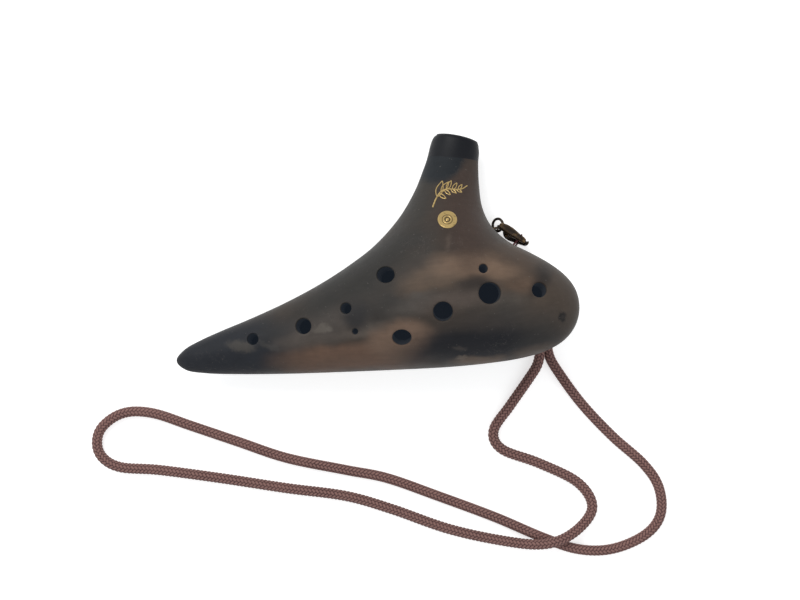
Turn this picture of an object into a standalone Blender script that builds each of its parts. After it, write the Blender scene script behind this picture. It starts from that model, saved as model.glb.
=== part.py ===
"""Twelve-hole transverse ocarina of smoke-fired clay, lying on its back with its braided neck cord.

Frame: +X towards the bulb, +Y towards the mouthpiece, +Z up.  The origin is on the table, under the
middle of the box round everything but the cord and its cap.  All dimensions below are in millimetres.
"""
import math

import bmesh
import bpy
import numpy as np
from mathutils import Matrix, Vector, geometry

MM = 0.001
MIDDLE = (-0.77, 0.39)      # where the box's middle falls in the plan values below

# ---- clay body -------------------------------------------------------------------------------------
# Plan outline, from the mouthpiece's left corner round the tail, belly and bulb to its right corner.
OUTLINE = [(25.5, 52.3), (20.3, 38.9), (15.6, 26.8), (8.8, 15.0), (-1.4, 3.4), (-11.9, -4.8),
           (-24.5, -12.9), (-39.3, -20.8), (-54.0, -27.5), (-67.2, -33.0), (-76.0, -37.0), (-82.4, -40.7),
           (-86.0, -45.5), (-81.8, -49.4), (-73.4, -50.7), (-58.5, -51.1), (-37.2, -50.8), (-12.9, -49.9),
           (9.3, -48.9), (30.3, -47.7), (47.0, -46.0), (59.6, -44.0), (69.9, -41.0), (77.7, -36.5),
           (82.5, -30.3), (84.2, -23.0), (82.9, -15.6), (79.1, -9.9), (72.5, -4.5), (63.9, 0.4),
           (55.1, 4.9), (48.1, 11.4), (44.3, 19.5), (43.1, 29.4), (42.9, 39.6), (43.0, 45.6)]
CORNER = 1.1                # softness of the outline's corners
END_POINT = (33.75, 49.7)   # middle of the mouthpiece's end
END_TURN = 11.7             # the end's outward direction, in degrees clockwise from +Y
END_LEAN = 12.0             # how far the end face leans to look down, in degrees
END_RIM = 1.4               # rounding of the end face's rim
FULLNESS = 0.63             # thickness against plan width
BELLY_Z = 23.6              # height of the widest plane at the belly
TAIL_TILT = 0.075           # rise of that plane per mm towards the bulb
TILT_FROM = 20.0            # x where the tilt is nil
NECK_START = 64.0           # distance from the end at which the neck leaves the belly
NECK_DROP = 17.4            # how far the neck's end lies below the belly's widest plane
NECK_THIN = 0.30            # share of thickness the neck loses by its end
FLAT = 0.55                 # depth of the slight flat the belly rests on
WALL = 4.6                  # thickness of the clay
SEAM = 0.30                 # gap between the two halves

# Plan outline of the air chamber, which stops short of the neck.
CHAMBER = [(29.0, 12.0), (19.0, 11.0), (10.5, 6.6), (2.2, -0.4), (-9.5, -8.9), (-24.0, -17.8),
           (-39.1, -25.4), (-53.2, -31.7), (-66.3, -37.5), (-75.0, -41.9), (-77.5, -44.7), (-73.4, -46.0),
           (-58.2, -46.3), (-37.0, -46.0), (-13.0, -45.3), (9.3, -44.4), (30.4, -43.1), (46.7, -41.2),
           (58.3, -39.2), (67.9, -36.6), (74.4, -32.8), (78.2, -28.5), (79.5, -23.0), (78.4, -17.8),
           (75.3, -13.5), (69.6, -9.0), (61.1, -4.5), (52.0, 0.5), (44.9, 5.9), (38.5, 10.2)]

# Holes: x, y, width, height across the face.
FINGER_HOLES = [(-52.0, -35.9, 4.7, 4.7), (-30.5, -30.4, 6.5, 6.5), (-12.8, -23.0, 4.5, 4.5),
                (-9.0, -32.5, 2.5, 2.5), (3.5, -9.3, 7.3, 6.6), (10.1, -34.8, 7.9, 6.5),
                (26.7, -24.2, 7.9, 7.9), (45.6, -16.8, 9.0, 8.7), (43.1, -6.8, 3.8, 3.8),
                (66.1, -15.5, 6.2, 6.1)]
THUMB_HOLES = [(-2.0, -24.0, 9.0, 9.0), (62.0, -23.0, 9.4, 9.4)]

# Windway, window and labium, along the neck towards the belly.
WINDWAY_WIDTH = 10.5
WINDWAY_HEIGHT = 1.3
WINDWAY_Z = 5.4
WINDWAY_LENGTH = 44.0
WINDOW_LENGTH = 5.4
WINDOW_DEPTH = 13.0
RAMP_LENGTH = 12.0

# ---- lanyard ---------------------------------------------------------------------------------------
CLASP_EYE = (53.36, 11.37, 5.6)
CLASP_L = Vector((0.855, -0.5186, 0.0)).normalized()
CLASP_LEAN = 80.0           # tilt of the clasp's width above the table, in degrees
CLASP_W = (Vector((-CLASP_L.y, CLASP_L.x, 0.0)) * math.cos(math.radians(CLASP_LEAN))
           + Vector((0.0, 0.0, math.sin(math.radians(CLASP_LEAN)))))
CLASP_T = CLASP_L.cross(CLASP_W)
PIVOT = (3.3, 0.85)         # trigger pivot along the clasp's length and width
PIN_RADIUS = 0.5
RING_RADIUS = 2.7
RING_WIRE = 0.6
RING_LEAN = 40.0            # tilt of the jump ring, in degrees
RING_MEETS_CLASP = math.radians(-35.0)
RING_IN_EYE = (0.05, 0.15)  # where it passes through the clasp's eye, along its length and width
RING_MEETS_CAP = math.radians(238.0)
CAP_TOP = (49.4, 8.5)
CAP_END = (52.4, -0.9)
CAP_Z = 2.45
LUG_AT = (54.5, 0.5)
LUG_RADIUS = 2.45
LUG_WIRE = 1.25
LUG_GAP = 0.45
THREAD_RADIUS = 0.42
CORD_RADIUS = 2.1
CORD_POINTS = 84
# Plan route of the cord, from the end cap round the table and back to it.
ROUTE = [(54.85, -0.95), (59.5, -6.8), (65.6, -16.4), (70.7, -27.3), (72.9, -37.0), (74.2, -43.8),
         (77.6, -50.0), (88.1, -64.4), (101.6, -78.7), (115.1, -90.7), (121.9, -101.0), (122.6, -113.0),
         (115.8, -121.8), (101.6, -127.8), (86.8, -127.9), (71.6, -122.9), (50.7, -114.0), (25.9, -104.8),
         (3.7, -97.0), (-14.1, -93.5), (-39.8, -88.3), (-60.7, -81.3), (-81.1, -74.4), (-98.5, -68.7),
         (-111.5, -68.9), (-121.0, -76.0), (-121.6, -85.7), (-113.3, -92.0), (-95.1, -93.5),
         (-67.4, -97.2), (-39.8, -101.4), (-14.1, -104.8), (5.9, -110.5), (30.9, -119.2), (55.9, -124.4),
         (73.7, -124.8), (86.4, -119.0), (93.0, -109.6), (86.8, -99.0), (69.8, -90.5), (53.6, -84.4),
         (50.0, -76.4), (57.2, -65.5), (65.4, -53.6), (69.3, -46.5), (69.6, -38.0), (65.9, -28.2),
         (61.0, -18.4), (55.2, -9.2), (50.9, -2.7)]

# Mesh fineness.
EDGE_STEP = 3.6
FACE_STEP = 5.0
HOLE_STEP = 1.6
STRIP = (0.0, 0.10, 0.38, 1.0)
STRIP_DEPTH = 3.2


def remove_everything():
    for thing in list(bpy.data.objects):
        bpy.data.objects.remove(thing, do_unlink=True)
    for group in (bpy.data.meshes, bpy.data.curves, bpy.data.materials):
        for item in list(group):
            group.remove(item)


def material(name, colour, metallic, roughness):
    made = bpy.data.materials.new(name)
    made.use_nodes = True
    shader = made.node_tree.nodes["Principled BSDF"]
    shader.inputs["Base Color"].default_value = (*colour, 1.0)
    shader.inputs["Metallic"].default_value = metallic
    shader.inputs["Roughness"].default_value = roughness
    return made


# ---- plan curves and meshes ------------------------------------------------------------------------

END_N = np.array([math.sin(math.radians(END_TURN)), math.cos(math.radians(END_TURN))])
END_T = np.array([END_N[1], -END_N[0]])


def past_end(p):
    """Signed distance of plan points beyond the mouthpiece's end line."""
    return (np.asarray(p, float)[..., :2] - np.array(END_POINT)) @ END_N


def catmull(points, per):
    """Closed centripetal curve through the points."""
    p = np.asarray(points, float)
    n = len(p)
    out = []
    for i in range(n):
        a, b, c, d = p[i - 1], p[i], p[(i + 1) % n], p[(i + 2) % n]
        t1 = np.linalg.norm(b - a) ** 0.5
        t2 = t1 + np.linalg.norm(c - b) ** 0.5
        t3 = t2 + np.linalg.norm(d - c) ** 0.5
        t = np.linspace(t1, t2, per, endpoint=False)[:, None]
        ab = (t1 - t) / t1 * a + t / t1 * b
        bc = (t2 - t) / (t2 - t1) * b + (t - t1) / (t2 - t1) * c
        cd = (t3 - t) / (t3 - t2) * c + (t - t2) / (t3 - t2) * d
        abc = (t2 - t) / t2 * ab + t / t2 * bc
        bcd = (t3 - t) / (t3 - t1) * bc + (t - t1) / (t3 - t1) * cd
        out.append((t2 - t) / (t2 - t1) * abc + (t - t1) / (t2 - t1) * bcd)
    return np.concatenate(out)


def evenly(loop, count):
    closed = np.vstack([loop, loop[:1]])
    run = np.concatenate([[0.0], np.cumsum(np.linalg.norm(np.diff(closed, axis=0), axis=1))])
    at = np.linspace(0.0, run[-1], count, endpoint=False)
    return np.stack([np.interp(at, run, closed[:, k]) for k in (0, 1)], axis=1), run[-1]


def plan_loop(points, step, softness, end_line=False):
    """Closed, smooth plan curve, with more points where it bends and along the end line."""
    if end_line:
        side = catmull(points, 24)[:24 * (len(points) - 1) + 1]
        side = side[past_end(side) < 0.0]
        a = np.array(END_POINT) + END_T * ((side[0] - np.array(END_POINT)) @ END_T)
        b = np.array(END_POINT) + END_T * ((side[-1] - np.array(END_POINT)) @ END_T)
        edge = b + (a - b) * np.linspace(0.0, 1.0, 60)[:, None]
        dense = np.vstack([side, edge])
    else:
        dense = catmull(points, 24)
    dense, total = evenly(dense, 4000)
    if softness > 0.0:
        reach = int(round(4.0 * softness / total * 4000))
        k = np.arange(-reach, reach + 1) * total / 4000
        w = np.exp(-0.5 * (k / softness) ** 2)
        w /= w.sum()
        dense = sum(wi * np.roll(dense, int(i), axis=0) for wi, i in zip(w, range(-reach, reach + 1)))
    d1 = np.roll(dense, -8, axis=0) - dense
    d0 = dense - np.roll(dense, 8, axis=0)
    turn = np.abs(d0[:, 0] * d1[:, 1] - d0[:, 1] * d1[:, 0])
    turn /= np.linalg.norm(d0, axis=1) * np.linalg.norm(d1, axis=1) + 1e-12
    bend = np.arcsin(np.clip(turn, 0.0, 1.0)) / (8 * total / 4000)
    density = np.sqrt(1.0 / step ** 2 + (bend / 0.30) ** 2)
    if end_line:
        density += (past_end(dense) > -1.2) * 1.3 / step
    run = np.concatenate([[0.0], np.cumsum(density)])
    count = int(math.ceil(run[-1] * total / 4000))
    at = np.interp(np.linspace(0.0, run[-1], count, endpoint=False), run, np.arange(len(run)))
    closed = np.vstack([dense, dense[:1]])
    loop = np.stack([np.interp(at, np.arange(len(closed)), closed[:, k]) for k in (0, 1)], axis=1)
    area = 0.5 * np.sum(loop[:, 0] * np.roll(loop[:, 1], -1) - loop[:, 1] * np.roll(loop[:, 0], -1))
    return loop if area > 0.0 else loop[::-1].copy()


def ellipse_loop(x, y, width, height, count, grow=0.0):
    a = np.linspace(0.0, 2.0 * math.pi, count, endpoint=False)
    return np.stack([x + (width / 2 + grow) * np.cos(a), y + (height / 2 + grow) * np.sin(a)], axis=1)


def inward(loop):
    d = np.roll(loop, -1, axis=0) - np.roll(loop, 1, axis=0)
    n = np.stack([-d[:, 1], d[:, 0]], axis=1)
    return n / np.linalg.norm(n, axis=1)[:, None]


def radius_of(loop):
    """Distance to the centre of curvature, for convex stretches only."""
    a, b, c = np.roll(loop, 1, axis=0), loop, np.roll(loop, -1, axis=0)
    ab, bc, ac = (np.linalg.norm(v, axis=1) for v in (b - a, c - b, c - a))
    cross = (b - a)[:, 0] * (c - b)[:, 1] - (b - a)[:, 1] * (c - b)[:, 0]
    r = ab * bc * ac / (2.0 * np.maximum(np.abs(cross), 1e-9))
    return np.where(cross > 0.0, r, 99.0)


def inside(points, loop):
    x, y = points[:, 0][:, None], points[:, 1][:, None]
    x1, y1 = loop[:, 0][None], loop[:, 1][None]
    x2, y2 = np.roll(loop[:, 0], -1)[None], np.roll(loop[:, 1], -1)[None]
    crosses = ((y1 > y) != (y2 > y)) & (x < (x2 - x1) * (y - y1) / np.where(y2 == y1, 1e-12, y2 - y1) + x1)
    return crosses.sum(1) % 2 == 1


def near(points, others):
    best = np.full(len(points), 1e9)
    for k in range(0, len(others), 200):
        d = np.linalg.norm(points[:, None] - others[None, k:k + 200], axis=2)
        best = np.minimum(best, d.min(1))
    return best


def flat_area(corners):
    a, b = corners[..., 1, :] - corners[..., 0, :], corners[..., 2, :] - corners[..., 0, :]
    return 0.5 * np.abs(a[..., 0] * b[..., 1] - a[..., 1] * b[..., 0])


def quads(ring_a, ring_b):
    """Triangles between two closed rings of equal count; ring_b lies to the left of ring_a's direction."""
    n = len(ring_a)
    out = []
    for i in range(n):
        j = (i + 1) % n
        out += [(ring_a[i], ring_a[j], ring_b[j]), (ring_a[i], ring_b[j], ring_b[i])]
    return out


def plan_mesh(loop, holes, step, strip, depth, rim):
    """Flat mesh of the region in the loop: points, triangles, rim loops, and the discs over the holes."""
    points = [loop]
    rings = [list(range(len(loop)))]
    size = np.minimum(depth, 0.55 * radius_of(loop))
    normal = inward(loop)
    gap = np.linalg.norm(loop - np.roll(loop, 1, axis=0), axis=1)
    for _ in range(60):
        size = np.minimum(size, np.roll(size, 1) + 0.45 * gap)
        size = np.minimum(size, np.roll(size, -1) + 0.45 * np.roll(gap, -1))
        crowded = near(loop + normal * size[:, None], loop) < 0.93 * size
        size = np.where(crowded, 0.9 * size, size)
    total = len(loop)
    for f in strip[1:]:
        points.append(loop + normal * (size * f)[:, None])
        rings.append(list(range(total, total + len(loop))))
        total += len(loop)
    tris = []
    for a, b in zip(rings[:-1], rings[1:]):
        tris += quads(a, b)
    border = [(rings[-1], points[-1])]
    hole_rims, discs = [], []
    for x, y, w, h in holes:
        count = max(12, 2 * int(round(math.pi * (w + h) / 4 / HOLE_STEP)))
        last = None
        for grow in rim:
            ring = ellipse_loop(x, y, w, h, count, grow)
            index = list(range(total, total + count))
            total += count
            points.append(ring)
            if last is None:
                hole_rims.append(index)
                inner = index
            else:
                tris += quads(index, last)
            last = index
        border.append((last, points[-1]))
        points.append(np.array([[x, y]]))
        discs += [(inner[i], inner[(i + 1) % count], total) for i in range(count)]
        total += 1
    lo, hi = loop.min(0), loop.max(0)
    nx, ny = int((hi[0] - lo[0]) / step) + 2, int((hi[1] - lo[1]) / (step * 0.866)) + 2
    grid = np.array([(lo[0] + (i + 0.5 * (j % 2)) * step, lo[1] + j * step * 0.866)
                     for j in range(ny) for i in range(nx)])
    grid = grid[inside(grid, border[0][1])]
    fences = np.vstack([b[1] for b in border])
    grid = grid[near(grid, fences) > 0.62 * step]
    for _, ring in border[1:]:
        grid = grid[~inside(grid, ring)]
    flat = np.vstack([b[1] for b in border] + [grid])
    index = [i for b in border for i in b[0]] + list(range(total, total + len(grid)))
    points.append(grid)
    edges, at = [], 0
    for ring, _ in border:
        edges += [(at + i, at + (i + 1) % len(ring)) for i in range(len(ring))]
        at += len(ring)
    cdt = geometry.delaunay_2d_cdt([Vector(p) for p in flat], edges, [], 0, 1e-7)
    where = [o[0] for o in cdt[3]]
    faces = np.array([[where[v] for v in f] for f in cdt[2]])
    middle = flat[faces].mean(1)
    keep = inside(middle, border[0][1]) & (flat_area(flat[faces]) > 0.005)
    for _, ring in border[1:]:
        keep &= ~inside(middle, ring)
    tris += [tuple(index[v] for v in f) for f in faces[keep]]
    return np.vstack(points), np.array(tris), hole_rims, np.array(discs).reshape(-1, 3), rings[0]


def inflate(points, tris, fixed):
    """Solve -laplacian(u) = 1 over the flat mesh, with u = 0 at the fixed points."""
    p = points[tris]
    area = 0.5 * ((p[:, 1, 0] - p[:, 0, 0]) * (p[:, 2, 1] - p[:, 0, 1])
                  - (p[:, 1, 1] - p[:, 0, 1]) * (p[:, 2, 0] - p[:, 0, 0]))
    area = np.maximum(np.abs(area), 1e-6)
    count = len(points)
    load = np.bincount(tris.ravel(), np.repeat(area / 3.0, 3), count)
    a_end, b_end, weight = [], [], []
    for k in range(3):
        i, j, o = tris[:, (k + 1) % 3], tris[:, (k + 2) % 3], tris[:, k]
        e1, e2 = points[i] - points[o], points[j] - points[o]
        a_end.append(i)
        b_end.append(j)
        weight.append((e1 * e2).sum(1) / (4.0 * area))
    a_end, b_end, weight = np.concatenate(a_end), np.concatenate(b_end), np.concatenate(weight)
    free = np.ones(count, bool)
    free[fixed] = False
    diagonal = np.bincount(a_end, weight, count) + np.bincount(b_end, weight, count)
    diagonal = np.where(diagonal > 1e-9, diagonal, 1.0)

    def apply(x):
        d = weight * (x[a_end] - x[b_end])
        return (np.bincount(a_end, d, count) - np.bincount(b_end, d, count)) * free

    u = np.zeros(count)
    r = load * free
    z = r / diagonal
    q = z.copy()
    rz = r @ z
    for _ in range(6000):
        aq = apply(q)
        step = rz / (q @ aq)
        u += step * q
        r -= step * aq
        z = r / diagonal
        new = r @ z
        if new < 1e-14 * (load @ load):
            break
        q = z + new / rz * q
        rz = new
    return np.maximum(u, 0.0)


def ease(t):
    t = np.clip(t, 0.0, 1.0)
    return t * t * (2.0 - t)


def middle_z(p):
    """Height of the surface in which the two halves meet."""
    along = ease(1.0 + past_end(p) / NECK_START)
    return BELLY_Z + TAIL_TILT * (p[..., 0] - TILT_FROM) - NECK_DROP * along


def thickness(points, u):
    along = ease(1.0 + past_end(points) / NECK_START)
    h = FULLNESS * np.sqrt(4.0 * u) * (1.0 - NECK_THIN * along)
    d = np.clip(END_RIM + past_end(points), 0.0, END_RIM)
    return np.where(h > 0.0, np.maximum(h - (END_RIM - np.sqrt(END_RIM ** 2 - d ** 2)), 0.05), 0.0)


def rest_flat(z):
    """Soften the very bottom into a slight flat at z = 0."""
    k = FLAT
    return np.where(z > k, z, np.where(z < -k, 0.0, (z + k) ** 2 / (4.0 * k)))


def lean_end(points):
    """Lean the mouthpiece's end so that it is square to the neck."""
    out = points.copy()
    fade = ease(1.0 + past_end(points) / 14.0)
    shift = (points[:, 2] - middle_z(points[:, :2])) * math.tan(math.radians(END_LEAN)) * fade
    out[:, :2] += shift[:, None] * END_N
    return out


def shell(side, name, holes, surface):
    """One half of the clay body: side +1 is the front, -1 the back."""
    loop = plan_loop(OUTLINE, EDGE_STEP, CORNER, end_line=True)
    outer = plan_mesh(loop, holes, FACE_STEP, STRIP, STRIP_DEPTH, (0.0, 1.2))
    pts, tris, rims, discs, ring = outer
    on_end = past_end(loop) > -0.25
    fixed = [i for i in ring if not on_end[i]]
    u = inflate(pts, np.vstack([tris, discs]) if len(discs) else tris, fixed)
    h = thickness(pts, u)
    mid = middle_z(pts)
    z_out = mid + side * (h + SEAM / 2)
    if side < 0:
        z_out = np.where(h > 0.0, rest_flat(z_out), z_out)

    chamber = plan_loop(CHAMBER, EDGE_STEP * 1.2, 1.0)
    slope = np.zeros((len(holes), 2))
    for k, (x, y, w, hh) in enumerate(holes):
        around = np.linalg.norm(pts - (x, y), axis=1) < 7.0
        fit = np.column_stack([pts[around] - (x, y), np.ones(around.sum())])
        slope[k] = np.linalg.lstsq(fit, z_out[around] * side, rcond=None)[0][:2]
    lean = slope / np.sqrt(1.0 + (slope ** 2).sum(1))[:, None]
    inner_holes = [(x + lean[k, 0] * WALL, y + lean[k, 1] * WALL, w, hh)
                   for k, (x, y, w, hh) in enumerate(holes)]
    inner = plan_mesh(chamber, inner_holes, FACE_STEP * 1.15, (0.0, 0.25, 1.0), 1.0, (0.0, 0.3))
    ipts, itris, irims, idiscs, iring = inner
    iu = inflate(ipts, np.vstack([itris, idiscs]) if len(idiscs) else itris, iring)
    ih = FULLNESS * np.sqrt(4.0 * iu)
    z_in = middle_z(ipts) + side * (ih + SEAM / 2)

    vertices = [tuple(v) for v in np.column_stack([pts, z_out])]
    faces = [tuple(t) if side > 0 else tuple(t[::-1]) for t in tris]
    low = {}
    for i in ring:
        if h[i] > 0.0:
            low[i] = len(vertices)
            vertices.append((pts[i, 0], pts[i, 1], mid[i] + side * SEAM / 2))
        else:
            low[i] = i
    n = len(ring)
    for k in range(n):
        a, b = ring[k], ring[(k + 1) % n]
        corners = [low[a], low[b], b, a]
        corners = list(dict.fromkeys(corners))
        if len(corners) > 2 and (low[a] != a or low[b] != b):
            faces.append(tuple(corners) if side > 0 else tuple(corners[::-1]))
    base = len(vertices)
    vertices += [tuple(v) for v in np.column_stack([ipts, z_in])]
    faces += [tuple(base + i for i in (t[::-1] if side > 0 else t)) for t in itris]
    for rim, irim in zip(rims, irims):
        m = len(rim)
        if len(irim) != m:
            raise ValueError("rim counts differ")
        for k in range(m):
            a, b = rim[k], rim[(k + 1) % m]
            c, d = base + irim[(k + 1) % m], base + irim[k]
            faces.append((a, b, c, d) if side > 0 else (b, a, d, c))
    seam = np.vstack([loop, chamber])
    seam_index = [low[i] for i in ring] + [base + i for i in iring]
    edges = [(i, (i + 1) % len(loop)) for i in range(len(loop))]
    edges += [(len(loop) + i, len(loop) + (i + 1) % len(chamber)) for i in range(len(chamber))]
    lo, hi = loop.min(0), loop.max(0)
    fill = np.array([(x, y) for x in np.arange(lo[0], hi[0], 5.0) for y in np.arange(lo[1], hi[1], 5.0)])
    fill = fill[inside(fill, loop) & ~inside(fill, chamber) & (near(fill, seam) > 3.0)]
    first = len(vertices)
    fill_z = middle_z(fill) + side * SEAM / 2
    vertices += [tuple(v) for v in np.column_stack([fill, fill_z])]
    seam_index += list(range(first, first + len(fill)))
    flat = np.vstack([seam, fill])
    cdt = geometry.delaunay_2d_cdt([Vector(p) for p in flat], edges, [], 0, 1e-7)
    where = [o[0] for o in cdt[3]]
    for f in cdt[2]:
        f = [where[v] for v in f]
        m = flat[f].mean(0)[None]
        if inside(m, loop)[0] and not inside(m, chamber)[0] and flat_area(flat[f]) > 0.005:
            t = [seam_index[v] for v in f]
            faces.append(tuple(t[::-1]) if side > 0 else tuple(t))
    points = lean_end(np.array(vertices))
    mesh = bpy.data.meshes.new(name)
    mesh.from_pydata([Vector(p) * MM for p in points], [], faces)
    bm = bmesh.new()
    bm.from_mesh(mesh)
    bmesh.ops.delete(bm, geom=[v for v in bm.verts if not v.link_faces], context="VERTS")
    bm.to_mesh(mesh)
    bm.free()
    return add_object(name, mesh, surface)


def add_object(name, mesh, surface):
    made = bpy.data.objects.new(name, mesh)
    bpy.context.scene.collection.objects.link(made)
    made.data.materials.append(surface)
    return made


def mesh_of(name, points, faces, surface):
    mesh = bpy.data.meshes.new(name)
    mesh.from_pydata([Vector(p) * MM for p in points], [], faces)
    mesh.validate()
    bm = bmesh.new()
    bm.from_mesh(mesh)
    bmesh.ops.recalc_face_normals(bm, faces=bm.faces)
    bm.to_mesh(mesh)
    bm.free()
    return add_object(name, mesh, surface)


def cut(target, cutter):
    """Take the cutter out of the target and drop the cutter."""
    cutter.hide_render = True
    cutter.display_type = "WIRE"
    step = target.modifiers.new("cut", "BOOLEAN")
    step.operation = "DIFFERENCE"
    step.solver = "EXACT"
    step.object = cutter
    bpy.context.view_layer.update()
    seen = target.evaluated_get(bpy.context.evaluated_depsgraph_get())
    mesh = bpy.data.meshes.new_from_object(seen)
    target.modifiers.clear()
    old = target.data
    target.data = mesh
    bpy.data.meshes.remove(old)
    bpy.data.objects.remove(cutter, do_unlink=True)


def prism(name, outline, low, high, place, surface):
    """A closed block: outline in place's first two axes, from low to high along its third."""
    n = len(outline)
    points = [place @ Vector((a, b, level)) for level in (low, high) for a, b in outline]
    faces = [tuple(range(n - 1, -1, -1)), tuple(range(n, 2 * n))]
    faces += [(k, (k + 1) % n, n + (k + 1) % n, n + k) for k in range(n)]
    return mesh_of(name, points, faces, surface)


def axes_at(origin, x, y, z):
    made = Matrix((x, y, z)).transposed().to_4x4()
    made.translation = Vector(origin)
    return made


def curve_through(points, per, closed=False):
    """Smooth curve through points of any dimension."""
    p = [Vector(q) for q in points]
    n = len(p)
    out = []
    for i in range(n if closed else n - 1):
        a = p[i - 1] if closed or i > 0 else p[0] * 2 - p[1]
        b, c = p[i], p[(i + 1) % n]
        d = p[(i + 2) % n] if closed or i + 2 < n else p[-1] * 2 - p[-2]
        for k in range(per):
            t = k / per
            out.append(0.5 * (2 * b + (c - a) * t + (2 * a - 5 * b + 4 * c - d) * t * t
                              + (3 * b - a - 3 * c + d) * t ** 3))
    if not closed:
        out.append(p[-1])
    return out


def sweep(name, centre, across, deep, place, surface, sides=10, dome=0.75):
    """Solid with elliptical sections along a curve in place's first two axes, rounded at both ends."""
    n = len(centre)
    points, faces = [], []
    rows = []
    for i in range(n):
        a, b = centre[max(i - 1, 0)], centre[min(i + 1, n - 1)]
        along = (b - a).normalized()
        side = Vector((-along.y, along.x))
        rows.append((centre[i], side, across[i], deep[i]))
    head, tail = (centre[0] - centre[1]).normalized(), (centre[-1] - centre[-2]).normalized()
    if dome > 0.0:
        c, side, w, t = rows[0]
        rows.insert(0, (c + head * w * dome, side, w * 0.55, t * 0.55))
        c, side, w, t = rows[-1]
        rows.append((c + tail * w * dome, side, w * 0.55, t * 0.55))
    for c, side, w, t in rows:
        for k in range(sides):
            turn = 2 * math.pi * k / sides
            q = c + side * w * math.cos(turn)
            points.append(place @ Vector((q.x, q.y, t * math.sin(turn))))
    for i in range(len(rows) - 1):
        for k in range(sides):
            a, b = i * sides + k, i * sides + (k + 1) % sides
            faces.append((a, b, b + sides, a + sides))
    faces.append(tuple(range(sides - 1, -1, -1)))
    faces.append(tuple(range((len(rows) - 1) * sides, len(rows) * sides)))
    return mesh_of(name, points, faces, surface)


def spread(values, count):
    at = np.linspace(0.0, len(values) - 1.0, count)
    return [float(v) for v in np.interp(at, np.arange(len(values)), values)]


def ring(name, place, radius, wire, surface, around=28, sides=8):
    points, faces = [], []
    for i in range(around):
        a = 2 * math.pi * i / around
        for k in range(sides):
            b = 2 * math.pi * k / sides
            r = radius + wire * math.cos(b)
            points.append(place @ Vector((r * math.cos(a), r * math.sin(a), wire * math.sin(b))))
    for i in range(around):
        for k in range(sides):
            j, m = (i + 1) % around, (k + 1) % sides
            faces.append((i * sides + k, j * sides + k, j * sides + m, i * sides + m))
    return mesh_of(name, points, faces, surface)


def tube(name, points, radius, surface, closed=False, fineness=2):
    data = bpy.data.curves.new(name, "CURVE")
    data.dimensions = "3D"
    data.bevel_depth = radius * MM
    data.bevel_resolution = fineness
    data.use_fill_caps = not closed
    line = data.splines.new("POLY")
    line.points.add(len(points) - 1)
    for spot, p in zip(line.points, points):
        spot.co = (*(Vector(p) * MM), 1.0)
    line.use_cyclic_u = closed
    made = bpy.data.objects.new(name, data)
    bpy.context.scene.collection.objects.link(made)
    data.materials.append(surface)
    return made


def neck_route():
    """Cord centreline: along the table, each later pass lying over the earlier one it meets."""
    flat = np.array([tuple(p) for p in curve_through(ROUTE, 16)])
    run = np.concatenate([[0.0], np.cumsum(np.linalg.norm(np.diff(flat, axis=0), axis=1))])
    at = np.arange(0.0, run[-1], 1.0)
    flat = np.stack([np.interp(at, run, flat[:, k]) for k in (0, 1)], axis=1)
    reach = CORD_RADIUS * 2.0 + 0.15
    lift = np.zeros(len(flat))
    for j in range(60, len(flat)):
        d = np.linalg.norm(flat[:j - 30] - flat[j], axis=1).min()
        if d < reach:
            lift[j] = math.sqrt(reach * reach - d * d)
    wide = np.array([lift[max(0, j - 7):j + 8].max() for j in range(len(lift))])
    kernel = np.exp(-0.5 * (np.arange(-21, 22) / 6.5) ** 2)
    lift = np.convolve(np.pad(wide, 21, mode="edge"), kernel / kernel.sum(), mode="valid")
    pick = np.linspace(0, len(flat) - 1, CORD_POINTS).round().astype(int)
    return [Vector((flat[j, 0], flat[j, 1], CORD_RADIUS + lift[j])) for j in pick]


def join(target, other):
    """Union of two solids, kept under the first one's name."""
    step = target.modifiers.new("join", "BOOLEAN")
    step.operation = "UNION"
    step.solver = "EXACT"
    step.object = other
    bpy.context.view_layer.update()
    seen = target.evaluated_get(bpy.context.evaluated_depsgraph_get())
    mesh = bpy.data.meshes.new_from_object(seen)
    target.modifiers.clear()
    old = target.data
    target.data = mesh
    bpy.data.meshes.remove(old)
    bpy.data.objects.remove(other, do_unlink=True)
    return target


def disc(name, centre, radius, low, high, place, surface, around=20):
    turns = [2 * math.pi * k / around for k in range(around)]
    outline = [(centre[0] + radius * math.cos(a), centre[1] + radius * math.sin(a)) for a in turns]
    return prism(name, outline, low, high, place, surface)


def path_2d(points, per=4):
    return curve_through([Vector(p) for p in points], per)


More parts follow.
